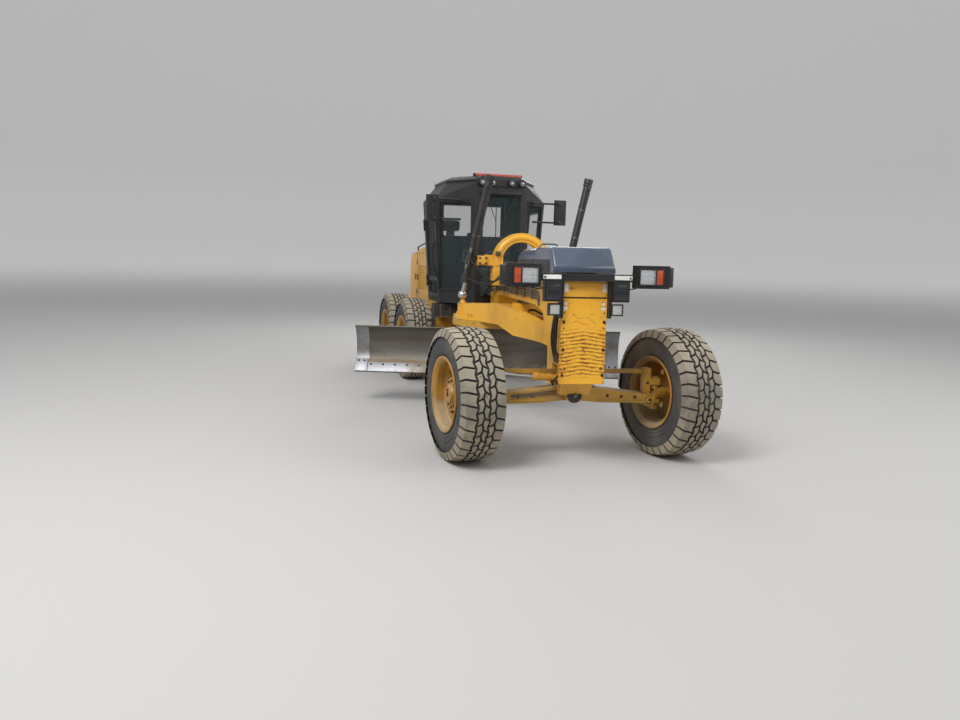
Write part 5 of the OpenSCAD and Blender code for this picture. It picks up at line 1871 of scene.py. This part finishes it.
class Studio:
    """Plain pale floor, soft light, and the camera where the photograph was taken."""

    LIGHTS = (Light("key", (-6.0, -9.0, 10.0), 5.0, 1300.0), Light("fill", (9.0, -7.0, 6.0), 7.0, 350.0),
              Light("back", (3.0, 10.0, 8.0), 6.0, 480.0))

    def build(self, centre: Vector) -> None:
        """Makes the floor, the lamps and the camera.

        Args:
            centre: Place of the front axle's centre in the world, in metres.
        """
        scene = bpy.context.scene
        scene.view_settings.view_transform = "Standard"
        self.floor()
        self.camera(centre)
        for light in self.LIGHTS:
            data = bpy.data.lights.new(light.name, "AREA")
            data.size, data.energy = light.size, light.watts
            lamp = bpy.data.objects.new(light.name, data)
            lamp.location = light.where
            lamp.rotation_euler = (Vector((0, 0, 1)) - Vector(light.where)).to_track_quat("-Z", "Y").to_euler()
            scene.collection.objects.link(lamp)
        world = bpy.data.worlds.new("studio")
        world.use_nodes = True
        sky = world.node_tree.nodes["Background"]
        sky.inputs[0].default_value, sky.inputs[1].default_value = (0.86, 0.88, 0.92, 1.0), 0.95
        scene.world = world

    def floor(self) -> None:
        """Pale floor that rises into a backdrop far behind."""
        bm = bmesh.new()
        bmesh.ops.create_circle(bm, cap_ends=True, segments=96, radius=24.0)
        rim = [e for e in bm.edges if e.is_boundary]
        for grow, rise in ((1.15, 0.5), (1.12, 2.0), (1.06, 4.0), (1.03, 17.0)):
            made = bmesh.ops.extrude_edge_only(bm, edges=rim)["geom"]
            verts = [g for g in made if isinstance(g, bmesh.types.BMVert)]
            rim = [g for g in made if isinstance(g, bmesh.types.BMEdge)]
            bmesh.ops.scale(bm, vec=(grow, grow, 1.0), verts=verts)
            bmesh.ops.translate(bm, vec=(0.0, 0.0, rise), verts=verts)
        mesh = bpy.data.meshes.new("floor")
        bm.to_mesh(mesh)
        bm.free()
        mesh.shade_smooth()
        floor = bpy.data.objects.new("floor", mesh)
        bpy.context.scene.collection.objects.link(floor)
        mat = bpy.data.materials.new("floor")
        mat.use_nodes = True
        web = Web(mat)
        pale, wall = (0.43, 0.42, 0.405), (0.72, 0.71, 0.69)
        web.link(web.mix(web.ramp(web.axis(web.place(), "Z"), 0.0, 1.6), pale, wall), web.shader.inputs["Base Color"])
        web.shader.inputs["Roughness"].default_value = 0.9
        mesh.materials.append(mat)

    def camera(self, centre: Vector) -> None:
        """Camera that sees what the photograph shows, at 960 by 720 pixels.

        Args:
            centre: Place of the front axle's centre in the world, in metres.
        """
        focal, eye, yaw, pitch, roll = 757.5, Vector((-2.142, -7.557, 2.042)), 9.07, 7.58, 1.3
        data = bpy.data.cameras.new("camera")
        data.sensor_width, data.clip_end = 36.0, 200.0
        data.lens = data.sensor_width * focal / IMAGE_WIDTH
        camera = bpy.data.objects.new("camera", data)
        turn = (Matrix.Rotation(math.radians(-yaw), 4, "Z") @ Matrix.Rotation(math.radians(90 - pitch), 4, "X")
                @ Matrix.Rotation(math.radians(roll), 4, "Z"))
        camera.matrix_world = Matrix.Translation(eye + centre) @ turn
        bpy.context.scene.collection.objects.link(camera)
        bpy.context.scene.camera = camera


def finishes() -> dict[str, tuple[str, bpy.types.Material]]:
    """Makes every finish.

    Returns:
        Name of a finish to its record slot and material.
    """
    dust = rgb(156, 138, 108)
    made = {
        "yellow": ("yellow_paint", Coat("yellow_paint", rgb(220, 163, 46), rgb(194, 142, 46), dust, 0.26, sheen=0.15)),
        # Darker copy of the yellow paint: partly dust, partly painted shade of parts that lie in shade.
        "olive": ("dusty_yellow", Coat("dusty_yellow", rgb(186, 140, 48), rgb(144, 114, 54), dust, 0.45)),
        "plate": ("dusty_yellow", Coat("push_plate", rgb(230, 170, 46), rgb(220, 158, 44), dust, 0.12, low=1.0,
                                       chip=rgb(96, 54, 22), chips=0.2, scores=(0.359, 0.93, 1.36))),
        "black": ("black_paint", Coat("black_paint", rgb(22, 23, 25), rgb(32, 32, 33), dust, 0.03, rough=0.42)),
        "gray": ("dark_gray", Coat("dark_gray", rgb(44, 45, 48), rgb(56, 55, 54), dust, 0.14)),
        "chrome": ("rod_chrome", Coat("rod_chrome", rgb(206, 208, 210), rgb(186, 186, 186), dust, 0.05, rough=0.15,
                                      metal=1.0)),
        "zinc": ("rod_chrome", Coat("zinc", rgb(112, 110, 104), rgb(90, 84, 74), dust, 0.25, metal=0.7)),
        "nuts": ("dark_gray", Coat("nuts", rgb(52, 46, 40), rgb(76, 60, 44), dust, 0.3, metal=0.5, rough=0.5)),
        "steel": ("blade_steel", Coat("blade_steel", rgb(104, 100, 92), rgb(82, 74, 62), dust, 0.42, metal=0.6,
                                      rough=0.5, streak=(0.3, 1.0, 2.5))),
        "edge": ("blade_steel", Coat("edge_steel", rgb(146, 148, 152), rgb(110, 104, 96), dust, 0.25, metal=0.6,
                                     rough=0.45)),
        "hood": ("hood_gray", Coat("hood_gray", rgb(62, 74, 92), rgb(54, 64, 80), dust, 0.12, sheen=0.5, rough=0.35)),
        "tyre": ("tyre_rubber", Coat("tyre_rubber", rgb(62, 62, 62), rgb(88, 85, 78), rgb(140, 128, 106), 0.22,
                                     low=0.45, rough=0.85)),
        "tread": ("tyre_rubber", Coat("tyre_tread", rgb(140, 132, 116), rgb(108, 102, 92), rgb(160, 149, 128), 0.5,
                                      chip=rgb(74, 70, 64), chips=0.2, rough=0.9, grain=0.5)),
        "hose": ("tyre_rubber", Coat("hose_rubber", rgb(20, 20, 21), rgb(30, 29, 28), dust, 0.12, rough=0.5)),
        # Rim yellow kept well darker than the yellow paint: partly dust, partly painted shade of the rims sunk inside
        # the tyres.
        "rim": ("rim_yellow", Coat("rim_yellow", rgb(174, 127, 46), rgb(122, 94, 50), dust, 0.42)),
        "cloth": ("seat_cloth", Coat("seat_cloth", rgb(50, 50, 54), rgb(40, 40, 44), dust, 0.1, rough=0.9)),
        "plastic": ("trim_plastic", Coat("trim_plastic", rgb(36, 36, 38), rgb(30, 30, 32), dust, 0.1, rough=0.45)),
        "white": ("trim_plastic", Coat("white_film", rgb(226, 226, 220), rgb(206, 202, 190), dust, 0.1, rough=0.4)),
        "iron": ("engine_iron", Coat("engine_iron", rgb(62, 60, 58), rgb(46, 44, 42), dust, 0.25, rough=0.6)),
        "pane": ("pane", Lens("pane", rgb(92, 108, 112), 0.1, dusty=0.04)),
        "mirror": ("pane", Coat("mirror", rgb(196, 202, 206), rgb(190, 196, 200), dust, 0.05, rough=0.05, metal=1.0,
                                grain=0.0)),
        "lens": ("pane", Lens("clear_lens", rgb(222, 226, 228), 0.22)),
        "dark_lens": ("pane", Lens("dark_lens", rgb(24, 27, 32), 1.0, 30.0, 0.05)),
        "led": ("pane", Lens("led_lens", rgb(172, 176, 172), 1.0, 34.0)),
        "amber": ("pane", Lens("amber_lens", rgb(176, 66, 24), 1.0, 26.0, 0.05)),
        "red": ("pane", Lens("red_lens", rgb(160, 20, 16), 1.0, 26.0, 0.05)),
    }
    return {name: (slot, look.build()) for name, (slot, look) in made.items()}


def main() -> None:
    """Builds the scene's parts in order."""
    logging.basicConfig(level=logging.INFO, format="%(message)s")
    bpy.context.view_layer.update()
    low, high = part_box("push_plate")
    pose = Pose(Vector(((low.x + high.x) / 2, low.y - Nose.FACE, 0.0)))
    Studio().build(pose.centre)
    shop = Shop(pose, finishes())
    by_slot: dict[str, bpy.types.Material] = {}
    for slot, material in shop.coats.values():
        by_slot.setdefault(slot, material)
    for part in FRAME["record"]["subparts"]:
        mesh = FRAME["nodes"][part["node"]].data
        mesh.materials.clear()
        mesh.materials.append(by_slot[part["material_slot"]] if part["node"] != "push_plate"
                              else shop.coats["plate"][1])
    for axle in ("front", "mid", "rear"):
        for side in Side:
            Wheel(shop, axle, side).build()
    for assembly in (Nose, Saddle, Beam, Circle, Axle, Cab, Seat, Rear):
        log.info("building %s", assembly.__name__)
        assembly(shop).build()


with open("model.json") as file:
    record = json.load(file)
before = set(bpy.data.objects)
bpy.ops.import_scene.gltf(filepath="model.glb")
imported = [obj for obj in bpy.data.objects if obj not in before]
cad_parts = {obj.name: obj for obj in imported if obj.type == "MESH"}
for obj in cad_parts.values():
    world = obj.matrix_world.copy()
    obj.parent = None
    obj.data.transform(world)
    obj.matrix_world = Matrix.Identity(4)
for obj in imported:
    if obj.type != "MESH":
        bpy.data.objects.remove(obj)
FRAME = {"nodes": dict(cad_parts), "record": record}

if __name__ == "__main__":
    main()
